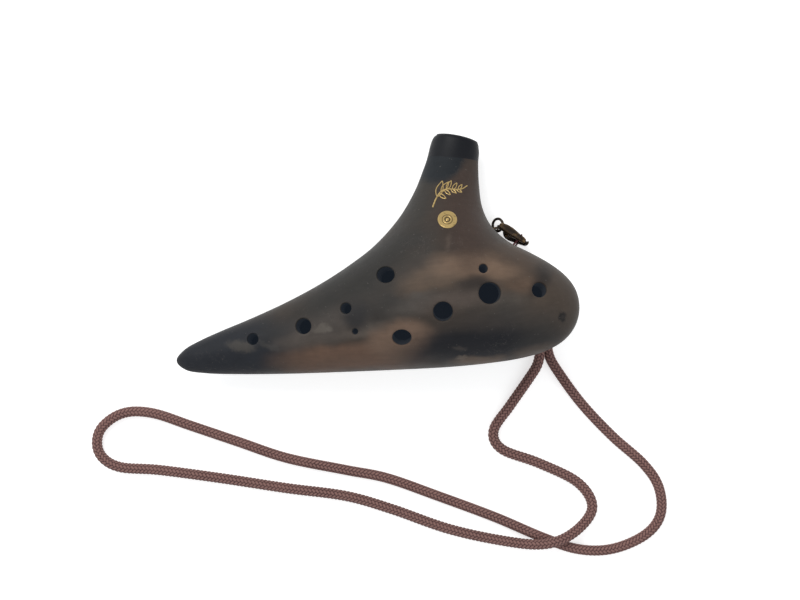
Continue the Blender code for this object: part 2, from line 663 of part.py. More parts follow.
def clasp(bronze):
    """Lobster clasp: hook with its eye, sprung trigger, and the pin it turns on."""
    place = axes_at(CLASP_EYE, CLASP_L, CLASP_W, CLASP_T)
    centre = path_2d([(2.6, 0.3), (3.5, -1.6), (5.6, -2.6), (8.4, -2.6), (10.9, -2.1), (12.4, -0.9),
                      (12.75, 1.3)])
    hook = sweep("clasp_body", centre, spread([1.7, 1.4, 1.1, 0.9, 0.8, 0.7, 0.55], len(centre)),
                 spread([2.3, 2.6, 2.4, 1.7, 1.3, 1.15, 1.0], len(centre)), place, bronze, 12)
    join(hook, ring("eye", place, 1.85, 0.5, bronze, 22, 8))
    slot = [(1.9, -0.75), (6.4, -0.75), (6.4, 3.6), (1.9, 3.6)]
    cut(hook, prism("slot", slot, -0.95, 0.95, place, bronze))
    cut(hook, disc("hole", PIVOT, PIN_RADIUS + 0.03, -2.8, 2.8, place, bronze, 16))
    gate = path_2d([(3.2, 0.9), (5.4, 1.9), (8.1, 2.25), (10.1, 2.1), (11.3, 1.75)])
    lever = sweep("clasp_trigger", gate, spread([1.0, 0.8, 0.65, 0.6, 0.5], len(gate)),
                  spread([0.66, 0.72, 1.45, 1.3, 1.0], len(gate)), place, bronze)
    crest = path_2d([(-1.2, 3.45), (1.2, 3.55), (3.6, 3.3), (6.2, 2.75), (8.0, 2.45)])
    knob = sweep("knob", crest, spread([0.8, 0.95, 1.05, 0.95, 0.7], len(crest)),
                 spread([1.35, 1.9, 2.0, 1.75, 1.45], len(crest)), place, bronze)
    join(lever, knob)
    cut(lever, disc("hole", PIVOT, PIN_RADIUS + 0.05, -2.8, 2.8, place, bronze, 16))
    disc("clasp_pin", PIVOT, PIN_RADIUS, -2.3, 2.3, place, bronze, 16)
    return place


def surface_below(target, x, y):
    """Point and outward direction of the underside above a plan point."""
    hit, point, normal, _ = target.ray_cast(Vector((x, y, -20.0)) * MM, Vector((0.0, 0.0, 1.0)))
    if not hit:
        raise ValueError("no underside there")
    return point / MM, normal


def lanyard(back, bronze, string, braid, clay):
    """What hangs on the ocarina's right shoulder: strap lug, thread, clasp, rings and neck cord."""
    place = clasp(bronze)
    eye = Vector(CLASP_EYE)
    lean = math.radians(RING_LEAN)
    v, u = Vector((math.cos(lean), 0.0, math.sin(lean))), Vector((0.0, 1.0, 0.0))
    meets = eye + CLASP_L * RING_IN_EYE[0] + CLASP_W * RING_IN_EYE[1]
    hub = meets - (v * math.cos(RING_MEETS_CLASP) + u * math.sin(RING_MEETS_CLASP)) * RING_RADIUS
    ring("jump_ring", axes_at(hub, u, v, u.cross(v)), RING_RADIUS, RING_WIRE, bronze, 28, 8)

    radial = v * math.cos(RING_MEETS_CAP) + u * math.sin(RING_MEETS_CAP)
    tangent = u * math.cos(RING_MEETS_CAP) - v * math.sin(RING_MEETS_CAP)
    loop = hub + radial * (RING_RADIUS + 0.45)
    eyelet = ring("end_cap", axes_at(loop, radial, tangent.cross(radial), tangent), 1.75, 0.5, bronze, 22, 8)
    start, end = Vector((*CAP_TOP, CAP_Z)), Vector((*CAP_END, CAP_Z))
    along = (end - start).normalized()
    across = Vector((along.y, -along.x, 0.0))
    cap_place = axes_at(start, along, across, along.cross(across))
    reach = (end - start).length
    rows = path_2d([(reach * f, 0.0) for f in (0.0, 0.12, 0.3, 0.6, 1.0)], 2)
    body = sweep("cap", rows, spread([1.3, 2.6, 4.4, 4.75, 4.75], 9), spread([1.0, 1.7, 2.3, 2.35, 2.35], 9),
                 cap_place, bronze, 20, 0.04)
    join(eyelet, body)

    foot, out = surface_below(back, *LUG_AT)
    along = Vector((0.74, -0.67, 0.0))
    along = (along - out * along.dot(out)).normalized()
    through = along.cross(out)
    lug_place = axes_at(foot, along, out, through)
    arch = [(LUG_RADIUS * math.cos(a), LUG_GAP + LUG_RADIUS * math.sin(a))
            for a in np.linspace(0.0, math.pi, 13)]
    sweep("strap_lug", [Vector(a) for a in arch], [LUG_WIRE] * 13, [LUG_WIRE] * 13, lug_place, clay, 12, 0.0)

    def at_lug(a, b, c):
        return lug_place @ Vector((a, b, c))

    def at_clasp(a, b, c):
        return place @ Vector((a, b, c))

    route = [at_lug(0.0, 0.85, 0.0), at_lug(0.0, 1.0, 2.4), at_clasp(7.9, 0.0, 3.6),
             at_clasp(8.6, -0.8, 0.0), at_clasp(8.9, -1.9, -2.6), at_clasp(9.2, -4.3, -2.2),
             at_clasp(9.4, -5.0, 0.4), at_clasp(9.0, -3.4, 3.6),
             at_lug(0.9, 4.9, 2.4), at_lug(0.8, 5.2, -0.4), at_lug(0.4, 3.0, -2.7), at_lug(0.0, 1.1, -1.9)]
    tube("thread_loop", curve_through(route, 4, closed=True), THREAD_RADIUS, string, closed=True, fineness=1)
    tube("neck_cord", neck_route(), CORD_RADIUS, braid)


def main():
    remove_everything()
    clay = material("smoke_fired_clay", (0.075, 0.066, 0.060), 0.0, 0.5)
    bronze = material("antique_bronze", (0.20, 0.15, 0.09), 1.0, 0.4)
    string = material("dark_red_thread", (0.10, 0.02, 0.025), 0.0, 0.8)
    braid = material("maroon_braid", (0.09, 0.045, 0.045), 0.0, 0.85)
    shell(1, "front_shell", FINGER_HOLES, clay)
    back = shell(-1, "back_shell", THUMB_HOLES, clay)
    into = Vector((-END_N[0], -END_N[1], 0.0))
    side = Vector((END_T[0], END_T[1], 0.0))
    up = Vector((0.0, 0.0, 1.0))
    place = axes_at((END_POINT[0], END_POINT[1], 0.0), into, up, side)
    half = WINDWAY_WIDTH / 2
    low, high = WINDWAY_Z - WINDWAY_HEIGHT / 2, WINDWAY_Z + WINDWAY_HEIGHT / 2
    edge = WINDWAY_LENGTH + WINDOW_LENGTH
    path = [(-4.0, low), (WINDWAY_LENGTH, low), (WINDWAY_LENGTH, -6.0), (edge + RAMP_LENGTH, -6.0),
            (edge + RAMP_LENGTH, 0.0), (edge, WINDWAY_Z), (edge, WINDOW_DEPTH),
            (WINDWAY_LENGTH, WINDOW_DEPTH), (WINDWAY_LENGTH, high), (-4.0, high)]
    cut(back, prism("voicing", path, -half, half, place, clay))
    lanyard(back, bronze, string, braid, clay)
    for made in bpy.data.objects:
        made.data.transform(Matrix.Translation((-MIDDLE[0] * MM, -MIDDLE[1] * MM, 0.0)))


main()
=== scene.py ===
"""Looks of the twelve-hole ocarina: smoke-fired clay, gilt marks, bronze clasp and braided neck cord.

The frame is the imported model's: +X towards the bulb, +Y towards the mouthpiece, +Z up.  Sizes below are
in millimetres, and MM turns them into the frame's metres.
"""

import math

import bmesh
import bpy
import numpy as np
from mathutils import Matrix, Vector, geometry
from mathutils.bvhtree import BVHTree


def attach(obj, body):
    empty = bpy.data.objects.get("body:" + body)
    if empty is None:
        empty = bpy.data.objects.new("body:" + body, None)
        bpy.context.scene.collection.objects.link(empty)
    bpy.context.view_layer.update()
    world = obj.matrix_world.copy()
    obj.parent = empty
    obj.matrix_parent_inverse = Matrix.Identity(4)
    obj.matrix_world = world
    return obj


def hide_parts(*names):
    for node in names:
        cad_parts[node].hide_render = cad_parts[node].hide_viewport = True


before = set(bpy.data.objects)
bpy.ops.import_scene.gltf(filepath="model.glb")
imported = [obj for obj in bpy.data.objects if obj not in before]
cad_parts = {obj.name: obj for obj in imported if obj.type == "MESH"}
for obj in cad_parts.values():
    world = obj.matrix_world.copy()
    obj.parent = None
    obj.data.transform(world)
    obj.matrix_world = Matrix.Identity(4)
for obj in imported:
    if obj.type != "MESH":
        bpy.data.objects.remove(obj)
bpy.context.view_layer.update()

MM = 0.001
MIDDLE = np.array([-0.77, 0.39, 0.0])   # where the frame's origin falls in the plan values below

# ---- camera ----------------------------------------------------------------------------------------
CAMERA_AT = (9.35, -19.58, 650.0)    # straight above the table
CAMERA_LENS = 67.05                  # for a 36 mm wide sensor

# ---- cord ------------------------------------------------------------------------------------------
CORD_RADIUS = 2.1
CORD_CROWN = 0.20           # how far a strand's crown stands out of the cord's mean surface
CORD_GAP = 0.60             # how far the gaps between strands lie below the crowns
CARRIERS = 8                # strands in each direction of the braid
LAY = 13.2                  # length in which a strand goes once round
CORD_AROUND = 40            # mesh points round the cord, a multiple of CARRIERS
# Plan route of the cord, from the end cap round the table and back to it, as in the CAD.
ROUTE = [(54.85, -0.95), (59.5, -6.8), (65.6, -16.4), (70.7, -27.3), (72.9, -37.0), (74.2, -43.8),
         (77.6, -50.0), (88.1, -64.4), (101.6, -78.7), (115.1, -90.7), (121.9, -101.0), (122.6, -113.0),
         (115.8, -121.8), (101.6, -127.8), (86.8, -127.9), (71.6, -122.9), (50.7, -114.0), (25.9, -104.8),
         (3.7, -97.0), (-14.1, -93.5), (-39.8, -88.3), (-60.7, -81.3), (-81.1, -74.4), (-98.5, -68.7),
         (-111.5, -68.9), (-121.0, -76.0), (-121.6, -85.7), (-113.3, -92.0), (-95.1, -93.5),
         (-67.4, -97.2), (-39.8, -101.4), (-14.1, -104.8), (5.9, -110.5), (30.9, -119.2), (55.9, -124.4),
         (73.7, -124.8), (86.4, -119.0), (93.0, -109.6), (86.8, -99.0), (69.8, -90.5), (53.6, -84.4),
         (50.0, -76.4), (57.2, -65.5), (65.4, -53.6), (69.3, -46.5), (69.6, -38.0), (65.9, -28.2),
         (61.0, -18.4), (55.2, -9.2), (50.9, -2.7)]

# ---- clay body, as in the CAD ----------------------------------------------------------------------
OUTLINE = [(25.5, 52.3), (20.3, 38.9), (15.6, 26.8), (8.8, 15.0), (-1.4, 3.4), (-11.9, -4.8),
           (-24.5, -12.9), (-39.3, -20.8), (-54.0, -27.5), (-67.2, -33.0), (-76.0, -37.0), (-82.4, -40.7),
           (-86.0, -45.5), (-81.8, -49.4), (-73.4, -50.7), (-58.5, -51.1), (-37.2, -50.8), (-12.9, -49.9),
           (9.3, -48.9), (30.3, -47.7), (47.0, -46.0), (59.6, -44.0), (69.9, -41.0), (77.7, -36.5),
           (82.5, -30.3), (84.2, -23.0), (82.9, -15.6), (79.1, -9.9), (72.5, -4.5), (63.9, 0.4),
           (55.1, 4.9), (48.1, 11.4), (44.3, 19.5), (43.1, 29.4), (42.9, 39.6), (43.0, 45.6)]
CHAMBER = [(29.0, 12.0), (19.0, 11.0), (10.5, 6.6), (2.2, -0.4), (-9.5, -8.9), (-24.0, -17.8),
           (-39.1, -25.4), (-53.2, -31.7), (-66.3, -37.5), (-75.0, -41.9), (-77.5, -44.7), (-73.4, -46.0),
           (-58.2, -46.3), (-37.0, -46.0), (-13.0, -45.3), (9.3, -44.4), (30.4, -43.1), (46.7, -41.2),
           (58.3, -39.2), (67.9, -36.6), (74.4, -32.8), (78.2, -28.5), (79.5, -23.0), (78.4, -17.8),
           (75.3, -13.5), (69.6, -9.0), (61.1, -4.5), (52.0, 0.5), (44.9, 5.9), (38.5, 10.2)]
# Holes: x, y, width, height across the face.
FINGER_HOLES = [(-52.0, -35.9, 4.7, 4.7), (-30.5, -30.4, 6.5, 6.5), (-12.8, -23.0, 4.5, 4.5),
                (-9.0, -32.5, 2.5, 2.5), (3.5, -9.3, 7.3, 6.6), (10.1, -34.8, 7.9, 6.5),
                (26.7, -24.2, 7.9, 7.9), (45.6, -16.8, 9.0, 8.7), (43.1, -6.8, 3.8, 3.8),
                (66.1, -15.5, 6.2, 6.1)]
THUMB_HOLES = [(-2.0, -24.0, 9.0, 9.0), (62.0, -23.0, 9.4, 9.4)]
CORNER = 1.1
END_POINT = (33.75, 49.7)
END_TURN = 11.7
END_LEAN = 12.0
END_RIM = 1.4
FULLNESS = 0.63
BELLY_Z = 23.6
TAIL_TILT = 0.075
TILT_FROM = 20.0
NECK_START = 64.0
NECK_DROP = 17.4
NECK_THIN = 0.30
FLAT = 0.55
WALL = 4.6
SEAM = 0.30
WINDWAY_WIDTH = 10.5
WINDWAY_HEIGHT = 1.3
WINDWAY_Z = 5.4
WINDWAY_LENGTH = 44.0
WINDOW_LENGTH = 5.4
WINDOW_DEPTH = 13.0
RAMP_LENGTH = 12.0

# Fineness of the shown surface, far finer than the CAD's.
EDGE_STEP = 1.1
FACE_STEP = 1.6
INSIDE_STEP = 3.0
HOLE_STEP = 0.62
STRIP = tuple((k / 8.0) ** 2 for k in range(9))
STRIP_DEPTH = 3.2
RIM = (0.0, 0.06, 0.18, 0.36, 0.62, 1.0, 1.6)
HOLE_LIP = 0.35             # depth of clay colour inside a hole, above the painted shade


# ---- shader nodes ----------------------------------------------------------------------------------

def linear(red, green, blue):
    """Linear colour of an sRGB one given in 0 to 255."""
    out = []
    for value in (red, green, blue):
        v = value / 255.0
        out.append(v / 12.92 if v <= 0.04045 else ((v + 0.055) / 1.055) ** 2.4)
    return (*out, 1.0)


class Shade:
    """A material, with short ways to add and link its nodes."""

    def __init__(self, name):
        self.material = bpy.data.materials.new(name)
        self.material.use_nodes = True
        self.tree = self.material.node_tree
        self.shader = self.tree.nodes["Principled BSDF"]
        where = self.add("ShaderNodeTexCoord").outputs["Object"]
        self.place = self.vector("ADD", where, tuple(MIDDLE * MM))

    def add(self, kind, **settings):
        node = self.tree.nodes.new(kind)
        for key, value in settings.items():
            setattr(node, key, value)
        return node

    def feed(self, socket, value):
        if isinstance(value, bpy.types.NodeSocket):
            self.tree.links.new(value, socket)
        elif value is not None:
            socket.default_value = value

    def math(self, operation, a, b=None, clamp=False):
        node = self.add("ShaderNodeMath", operation=operation, use_clamp=clamp)
        self.feed(node.inputs[0], a)
        self.feed(node.inputs[1], b)
        return node.outputs[0]

    def vector(self, operation, a, b=None, scale=None):
        node = self.add("ShaderNodeVectorMath", operation=operation)
        self.feed(node.inputs[0], a)
        self.feed(node.inputs[1], b)
        if scale is not None:
            self.feed(node.inputs["Scale"], scale)
        return node.outputs["Value"] if operation in ("LENGTH", "DOT_PRODUCT") else node.outputs[0]

    def mix(self, factor, a, b, blend="MIX"):
        node = self.add("ShaderNodeMix", data_type="RGBA", blend_type=blend)
        self.feed(node.inputs["Factor"], factor)
        self.feed(node.inputs[6], a)
        self.feed(node.inputs[7], b)
        return node.outputs[2]

    def step(self, value, low, high, to_low=0.0, to_high=1.0, smooth=True):
        node = self.add("ShaderNodeMapRange", interpolation_type="SMOOTHSTEP" if smooth else "LINEAR")
        self.feed(node.inputs["Value"], value)
        self.feed(node.inputs["From Min"], low)
        self.feed(node.inputs["From Max"], high)
        self.feed(node.inputs["To Min"], to_low)
        self.feed(node.inputs["To Max"], to_high)
        return node.outputs["Result"]

    def map(self, location=(0, 0, 0), turn=0.0, size=(1, 1, 1), vector=None):
        """Coordinates round a place, in units of the given size."""
        node = self.add("ShaderNodeMapping", vector_type="TEXTURE")
        self.feed(node.inputs["Vector"], self.place if vector is None else vector)
        node.inputs["Location"].default_value = location
        node.inputs["Rotation"].default_value = (0.0, 0.0, turn)
        node.inputs["Scale"].default_value = size
        return node.outputs[0]

    def noise(self, size, detail=3.0, rough=0.5, vector=None, colour=False, stretch=(1, 1, 1), turn=0.0):
        """Noise whose features are about size across, in metres."""
        node = self.add("ShaderNodeTexNoise")
        where = self.map(turn=turn, size=tuple(size * s for s in stretch), vector=vector)
        self.feed(node.inputs["Vector"], where)
        node.inputs["Scale"].default_value = 1.0
        node.inputs["Detail"].default_value = detail
        node.inputs["Roughness"].default_value = rough
        return node.outputs["Color" if colour else "Fac"]

    def bump(self, height, distance, strength=1.0, normal=None):
        node = self.add("ShaderNodeBump")
        self.feed(node.inputs["Height"], height)
        node.inputs["Distance"].default_value = distance
        node.inputs["Strength"].default_value = strength
        self.feed(node.inputs["Normal"], normal)
        return node.outputs[0]

    def attribute(self, name, part="Fac"):
        return self.add("ShaderNodeAttribute", attribute_name=name).outputs[part]

    def finish(self, **sockets):
        for name, value in sockets.items():
            self.feed(self.shader.inputs[name.replace("_", " ")], value)
        return self.material


# ---- camera, table and light -----------------------------------------------------------------------

def make_camera():
    data = bpy.data.cameras.new("camera")
    data.lens = CAMERA_LENS
    data.sensor_width = 36.0
    made = bpy.data.objects.new("camera", data)
    bpy.context.scene.collection.objects.link(made)
    made.location = (np.array(CAMERA_AT) - MIDDLE) * MM
    bpy.context.scene.camera = made


def area_light(name, at, towards, size, power, colour=(1.0, 1.0, 1.0)):
    data = bpy.data.lights.new(name, "AREA")
    data.shape = "DISK"
    data.size = size
    data.energy = power
    data.color = colour
    made = bpy.data.objects.new(name, data)
    bpy.context.scene.collection.objects.link(made)
    made.location = at
    made.rotation_euler = (Vector(towards) - Vector(at)).to_track_quat("-Z", "Y").to_euler()


def make_stage():
    bpy.ops.mesh.primitive_plane_add(size=6.0)
    floor = bpy.context.object
    floor.name = "table_top"
    floor.location.z = -0.0002
    look = Shade("table_top")
    look.finish(Base_Color=(0.70, 0.70, 0.70, 1.0), Roughness=0.9)
    look.shader.inputs["Specular IOR Level"].default_value = 0.1
    look.shader.inputs["Emission Color"].default_value = (1.0, 1.0, 1.0, 1.0)
    look.shader.inputs["Emission Strength"].default_value = 0.60
    floor.data.materials.append(look.material)
    world = bpy.data.worlds.new("studio")
    bpy.context.scene.world = world
    world.use_nodes = True
    back = world.node_tree.nodes["Background"]
    back.inputs["Color"].default_value = (0.96, 0.98, 1.0, 1.0)
    back.inputs["Strength"].default_value = 0.62
    area_light("window", (-0.55, 0.75, 1.05), (0.0, -0.03, 0.0), 0.9, 12.0, (1.0, 0.985, 0.96))
    area_light("fill", (0.9, -0.5, 1.2), (0.0, -0.03, 0.0), 1.2, 4.0)
    bpy.context.scene.view_settings.view_transform = "Standard"


# ---- curves ----------------------------------------------------------------------------------------

def curve_through(points, per, closed=False):
    """Smooth curve through points of any dimension."""
    p = [Vector(q) for q in points]
    n = len(p)
    out = []
    for i in range(n if closed else n - 1):
        a = p[i - 1] if closed or i > 0 else p[0] * 2 - p[1]
        b, c = p[i], p[(i + 1) % n]
        d = p[(i + 2) % n] if closed or i + 2 < n else p[-1] * 2 - p[-2]
        for k in range(per):
            t = k / per
            out.append(0.5 * (2 * b + (c - a) * t + (2 * a - 5 * b + 4 * c - d) * t * t
                              + (3 * b - a - 3 * c + d) * t ** 3))
    if not closed:
        out.append(p[-1])
    return out


def resample(points, step):
    """The same line with points a step apart."""
    line = np.array([tuple(p) for p in points])
    run = np.concatenate([[0.0], np.cumsum(np.linalg.norm(np.diff(line, axis=0), axis=1))])
    count = max(2, int(round(run[-1] / step)) + 1)
    at = np.linspace(0.0, run[-1], count)
    return np.stack([np.interp(at, run, line[:, k]) for k in range(line.shape[1])], axis=1)


def neck_route():
    """Cord centreline: along the table, each later pass lying over the earlier one it meets."""
    flat = resample(curve_through(ROUTE, 16), 1.0)
    reach = CORD_RADIUS * 2.0 + 0.15
    lift = np.zeros(len(flat))
    for j in range(60, len(flat)):
        d = np.linalg.norm(flat[:j - 30] - flat[j], axis=1).min()
        if d < reach:
            lift[j] = math.sqrt(reach * reach - d * d)
    wide = np.array([lift[max(0, j - 7):j + 8].max() for j in range(len(lift))])
    kernel = np.exp(-0.5 * (np.arange(-21, 22) / 6.5) ** 2)
    lift = np.convolve(np.pad(wide, 21, mode="edge"), kernel / kernel.sum(), mode="valid")
    return np.column_stack([flat, CORD_RADIUS + lift])


def side_frames(line):
    """Tangents and two steady side directions along a line."""
    along = np.gradient(line, axis=0)
    along /= np.linalg.norm(along, axis=1)[:, None]
    side = np.zeros_like(line)
    side[0] = np.cross(along[0], (0.0, 0.0, 1.0))
    side[0] /= np.linalg.norm(side[0])
    for i in range(1, len(line)):
        v = side[i - 1] - along[i] * (side[i - 1] @ along[i])
        side[i] = v / np.linalg.norm(v)
    return along, side, np.cross(along, side)


def link(name, mesh, *looks):
    made = bpy.data.objects.new(name, mesh)
    bpy.context.scene.collection.objects.link(made)
    for look in looks:
        mesh.materials.append(look)
    return made


def new_mesh(name, points, faces):
    mesh = bpy.data.meshes.new(name)
    mesh.from_pydata([tuple(p) for p in (np.asarray(points, float) - MIDDLE) * MM], [], faces)
    mesh.polygons.foreach_set("use_smooth", [True] * len(mesh.polygons))
    return mesh


# ---- neck cord -------------------------------------------------------------------------------------

def braid_height(i, j):
    """Height and strand mark of a two-over, two-under braid at mesh ring i and point j."""
    u = (CARRIERS * (j + i) / CORD_AROUND + 0.1) % (2 * CARRIERS)
    v = (CARRIERS * (j - i) / CORD_AROUND + 0.1) % (2 * CARRIERS)
    iu, iv = np.floor(u), np.floor(v)
    fu, fv = u - iu, v - iv
    turn = (iu + iv) % 4
    first = turn < 2
    along = np.where(first, (turn + fv) / 2, (turn - 2 + fu) / 2)
    across = np.where(first, fu, fv)
    crown = np.sqrt(np.clip(1.0 - 0.9 * (2 * across - 1) ** 2, 0.0, 1.0))
    arch = 1.0 - 0.55 * np.abs(2 * along - 1) ** 3
    return crown * arch, across


def make_cord(look):
    line = resample(neck_route(), LAY / CORD_AROUND)
    smooth = np.exp(-0.5 * (np.arange(-9, 10) / 3.0) ** 2)
    smooth /= smooth.sum()
    line = np.stack([np.convolve(np.pad(line[:, k], 9, mode="reflect", reflect_type="odd"), smooth, "valid")
                     for k in range(3)], axis=1)
    _, side, up = side_frames(line)
    n, m = len(line), CORD_AROUND
    i, j = np.meshgrid(np.arange(n), np.arange(m), indexing="ij")
    height, across = braid_height(i, j)
    radius = CORD_RADIUS + CORD_CROWN - CORD_GAP * (1.0 - height)
    turn = 2 * np.pi * j / m
    points = (line[:, None] + side[:, None] * (radius * np.cos(turn))[..., None]
              + up[:, None] * (radius * np.sin(turn))[..., None])
    points = points.reshape(-1, 3)
    points[:, 2] = np.maximum(points[:, 2], 0.02)
    faces = [(a * m + b, a * m + (b + 1) % m, (a + 1) * m + (b + 1) % m, (a + 1) * m + b)
             for a in range(n - 1) for b in range(m)]
    faces.append(tuple(range(m - 1, -1, -1)))
    faces.append(tuple(range((n - 1) * m, n * m)))
    mesh = new_mesh("neck_braid", points, [f[::-1] for f in faces])
    for name, values in (("crown", height), ("across", across)):
        layer = mesh.attributes.new(name, "FLOAT", "POINT")
        layer.data.foreach_set("value", values.astype(np.float32).ravel())
    made = link("neck_braid", mesh, look)
    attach(made, "ocarina")
    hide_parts("neck_cord")
    return made


def braid_look():
    s = Shade("maroon_braid")
    crown = s.attribute("crown")
    fuzz = s.noise(0.00035, 4.0, 0.7)
    patch = s.noise(0.012, 2.0)
    # Colour by strand height: the gaps between strands are painted dark as shade and the crowns painted light
    # as highlight, with fibre fuzz and broad patches on top.
    tone = s.math("ADD", s.math("MULTIPLY", crown, 0.85), s.math("MULTIPLY", fuzz, 0.45))
    ramp = s.add("ShaderNodeValToRGB")
    s.feed(ramp.inputs[0], s.math("ADD", tone, s.math("MULTIPLY", patch, 0.10)))
    stops = [(0.34, linear(22, 14, 17)), (0.74, linear(50, 34, 36)), (1.02, linear(86, 62, 61)),
             (1.24, linear(132, 100, 94))]
    while len(ramp.color_ramp.elements) < len(stops):
        ramp.color_ramp.elements.new(0.5)
    for element, (at, colour) in zip(ramp.color_ramp.elements, stops):
        element.position = min(1.0, at / 1.3)
        element.color = colour
    s.finish(Base_Color=ramp.outputs[0], Roughness=0.82, Normal=s.bump(fuzz, 0.00012, 0.8))
    s.shader.inputs["Sheen Weight"].default_value = 0.06
    s.shader.inputs["Sheen Roughness"].default_value = 0.4
    s.shader.inputs["Specular IOR Level"].default_value = 0.2
    return s.material


# ---- plan meshes of the body -----------------------------------------------------------------------

END_N = np.array([math.sin(math.radians(END_TURN)), math.cos(math.radians(END_TURN))])
END_T = np.array([END_N[1], -END_N[0]])


def past_end(p):
    """Signed distance of plan points beyond the mouthpiece's end line."""
    return (np.asarray(p, float)[..., :2] - np.array(END_POINT)) @ END_N


def catmull(points, per):
    """Closed centripetal curve through the points."""
    p = np.asarray(points, float)
    n = len(p)
    out = []
    for i in range(n):
        a, b, c, d = p[i - 1], p[i], p[(i + 1) % n], p[(i + 2) % n]
        t1 = np.linalg.norm(b - a) ** 0.5
        t2 = t1 + np.linalg.norm(c - b) ** 0.5
        t3 = t2 + np.linalg.norm(d - c) ** 0.5
        t = np.linspace(t1, t2, per, endpoint=False)[:, None]
        ab = (t1 - t) / t1 * a + t / t1 * b
        bc = (t2 - t) / (t2 - t1) * b + (t - t1) / (t2 - t1) * c
        cd = (t3 - t) / (t3 - t2) * c + (t - t2) / (t3 - t2) * d
        abc = (t2 - t) / t2 * ab + t / t2 * bc
        bcd = (t3 - t) / (t3 - t1) * bc + (t - t1) / (t3 - t1) * cd
        out.append((t2 - t) / (t2 - t1) * abc + (t - t1) / (t2 - t1) * bcd)
    return np.concatenate(out)


def evenly(loop, count):
    closed = np.vstack([loop, loop[:1]])
    run = np.concatenate([[0.0], np.cumsum(np.linalg.norm(np.diff(closed, axis=0), axis=1))])
    at = np.linspace(0.0, run[-1], count, endpoint=False)
    return np.stack([np.interp(at, run, closed[:, k]) for k in (0, 1)], axis=1), run[-1]


def plan_loop(points, step, softness, end_line=False):
    """Closed, smooth plan curve, with more points where it bends and along the end line."""
    if end_line:
        side = catmull(points, 24)[:24 * (len(points) - 1) + 1]
        side = side[past_end(side) < 0.0]
        a = np.array(END_POINT) + END_T * ((side[0] - np.array(END_POINT)) @ END_T)
        b = np.array(END_POINT) + END_T * ((side[-1] - np.array(END_POINT)) @ END_T)
        edge = b + (a - b) * np.linspace(0.0, 1.0, 60)[:, None]
        dense = np.vstack([side, edge])
    else:
        dense = catmull(points, 24)
    dense, total = evenly(dense, 4000)
    reach = int(round(4.0 * softness / total * 4000))
    k = np.arange(-reach, reach + 1) * total / 4000
    w = np.exp(-0.5 * (k / softness) ** 2)
    w /= w.sum()
    dense = sum(wi * np.roll(dense, int(i), axis=0) for wi, i in zip(w, range(-reach, reach + 1)))
    d1 = np.roll(dense, -8, axis=0) - dense
    d0 = dense - np.roll(dense, 8, axis=0)
    turn = np.abs(d0[:, 0] * d1[:, 1] - d0[:, 1] * d1[:, 0])
    turn /= np.linalg.norm(d0, axis=1) * np.linalg.norm(d1, axis=1) + 1e-12
    bend = np.arcsin(np.clip(turn, 0.0, 1.0)) / (8 * total / 4000)
    density = np.sqrt(1.0 / step ** 2 + (bend / 0.12) ** 2)
    if end_line:
        density += (past_end(dense) > -1.2) * 0.4 / step
    run = np.concatenate([[0.0], np.cumsum(density)])
    count = int(math.ceil(run[-1] * total / 4000))
    at = np.interp(np.linspace(0.0, run[-1], count, endpoint=False), run, np.arange(len(run)))
    closed = np.vstack([dense, dense[:1]])
    loop = np.stack([np.interp(at, np.arange(len(closed)), closed[:, k]) for k in (0, 1)], axis=1)
    area = 0.5 * np.sum(loop[:, 0] * np.roll(loop[:, 1], -1) - loop[:, 1] * np.roll(loop[:, 0], -1))
    return loop if area > 0.0 else loop[::-1].copy()


def ellipse_loop(x, y, width, height, count, grow=0.0):
    a = np.linspace(0.0, 2.0 * math.pi, count, endpoint=False)
    return np.stack([x + (width / 2 + grow) * np.cos(a), y + (height / 2 + grow) * np.sin(a)], axis=1)


def inward(loop):
    d = np.roll(loop, -1, axis=0) - np.roll(loop, 1, axis=0)
    n = np.stack([-d[:, 1], d[:, 0]], axis=1)
    return n / np.linalg.norm(n, axis=1)[:, None]


def radius_of(loop):
    """Distance to the centre of curvature, for convex stretches only."""
    a, b, c = np.roll(loop, 1, axis=0), loop, np.roll(loop, -1, axis=0)
    ab, bc, ac = (np.linalg.norm(v, axis=1) for v in (b - a, c - b, c - a))
    cross = (b - a)[:, 0] * (c - b)[:, 1] - (b - a)[:, 1] * (c - b)[:, 0]
    r = ab * bc * ac / (2.0 * np.maximum(np.abs(cross), 1e-9))
    return np.where(cross > 0.0, r, 99.0)


def inside(points, loop):
    hit = np.zeros(len(points), bool)
    x, y = points[:, 0], points[:, 1]
    for (x1, y1), (x2, y2) in zip(loop, np.roll(loop, -1, axis=0)):
        if y1 != y2:
            hit ^= ((y1 > y) != (y2 > y)) & (x < (x2 - x1) * (y - y1) / (y2 - y1) + x1)
    return hit


def near(points, others):
    best = np.full(len(points), 1e9)
    for k in range(0, len(others), 200):
        d = np.linalg.norm(points[:, None] - others[None, k:k + 200], axis=2)
        best = np.minimum(best, d.min(1))
    return best


def flat_area(corners):
    a, b = corners[..., 1, :] - corners[..., 0, :], corners[..., 2, :] - corners[..., 0, :]
    return 0.5 * np.abs(a[..., 0] * b[..., 1] - a[..., 1] * b[..., 0])


def quads(ring_a, ring_b):
    """Triangles between two closed rings of equal count; ring_b lies to the left of ring_a's direction."""
    n = len(ring_a)
    out = []
    for i in range(n):
        j = (i + 1) % n
        out += [(ring_a[i], ring_a[j], ring_b[j]), (ring_a[i], ring_b[j], ring_b[i])]
    return out


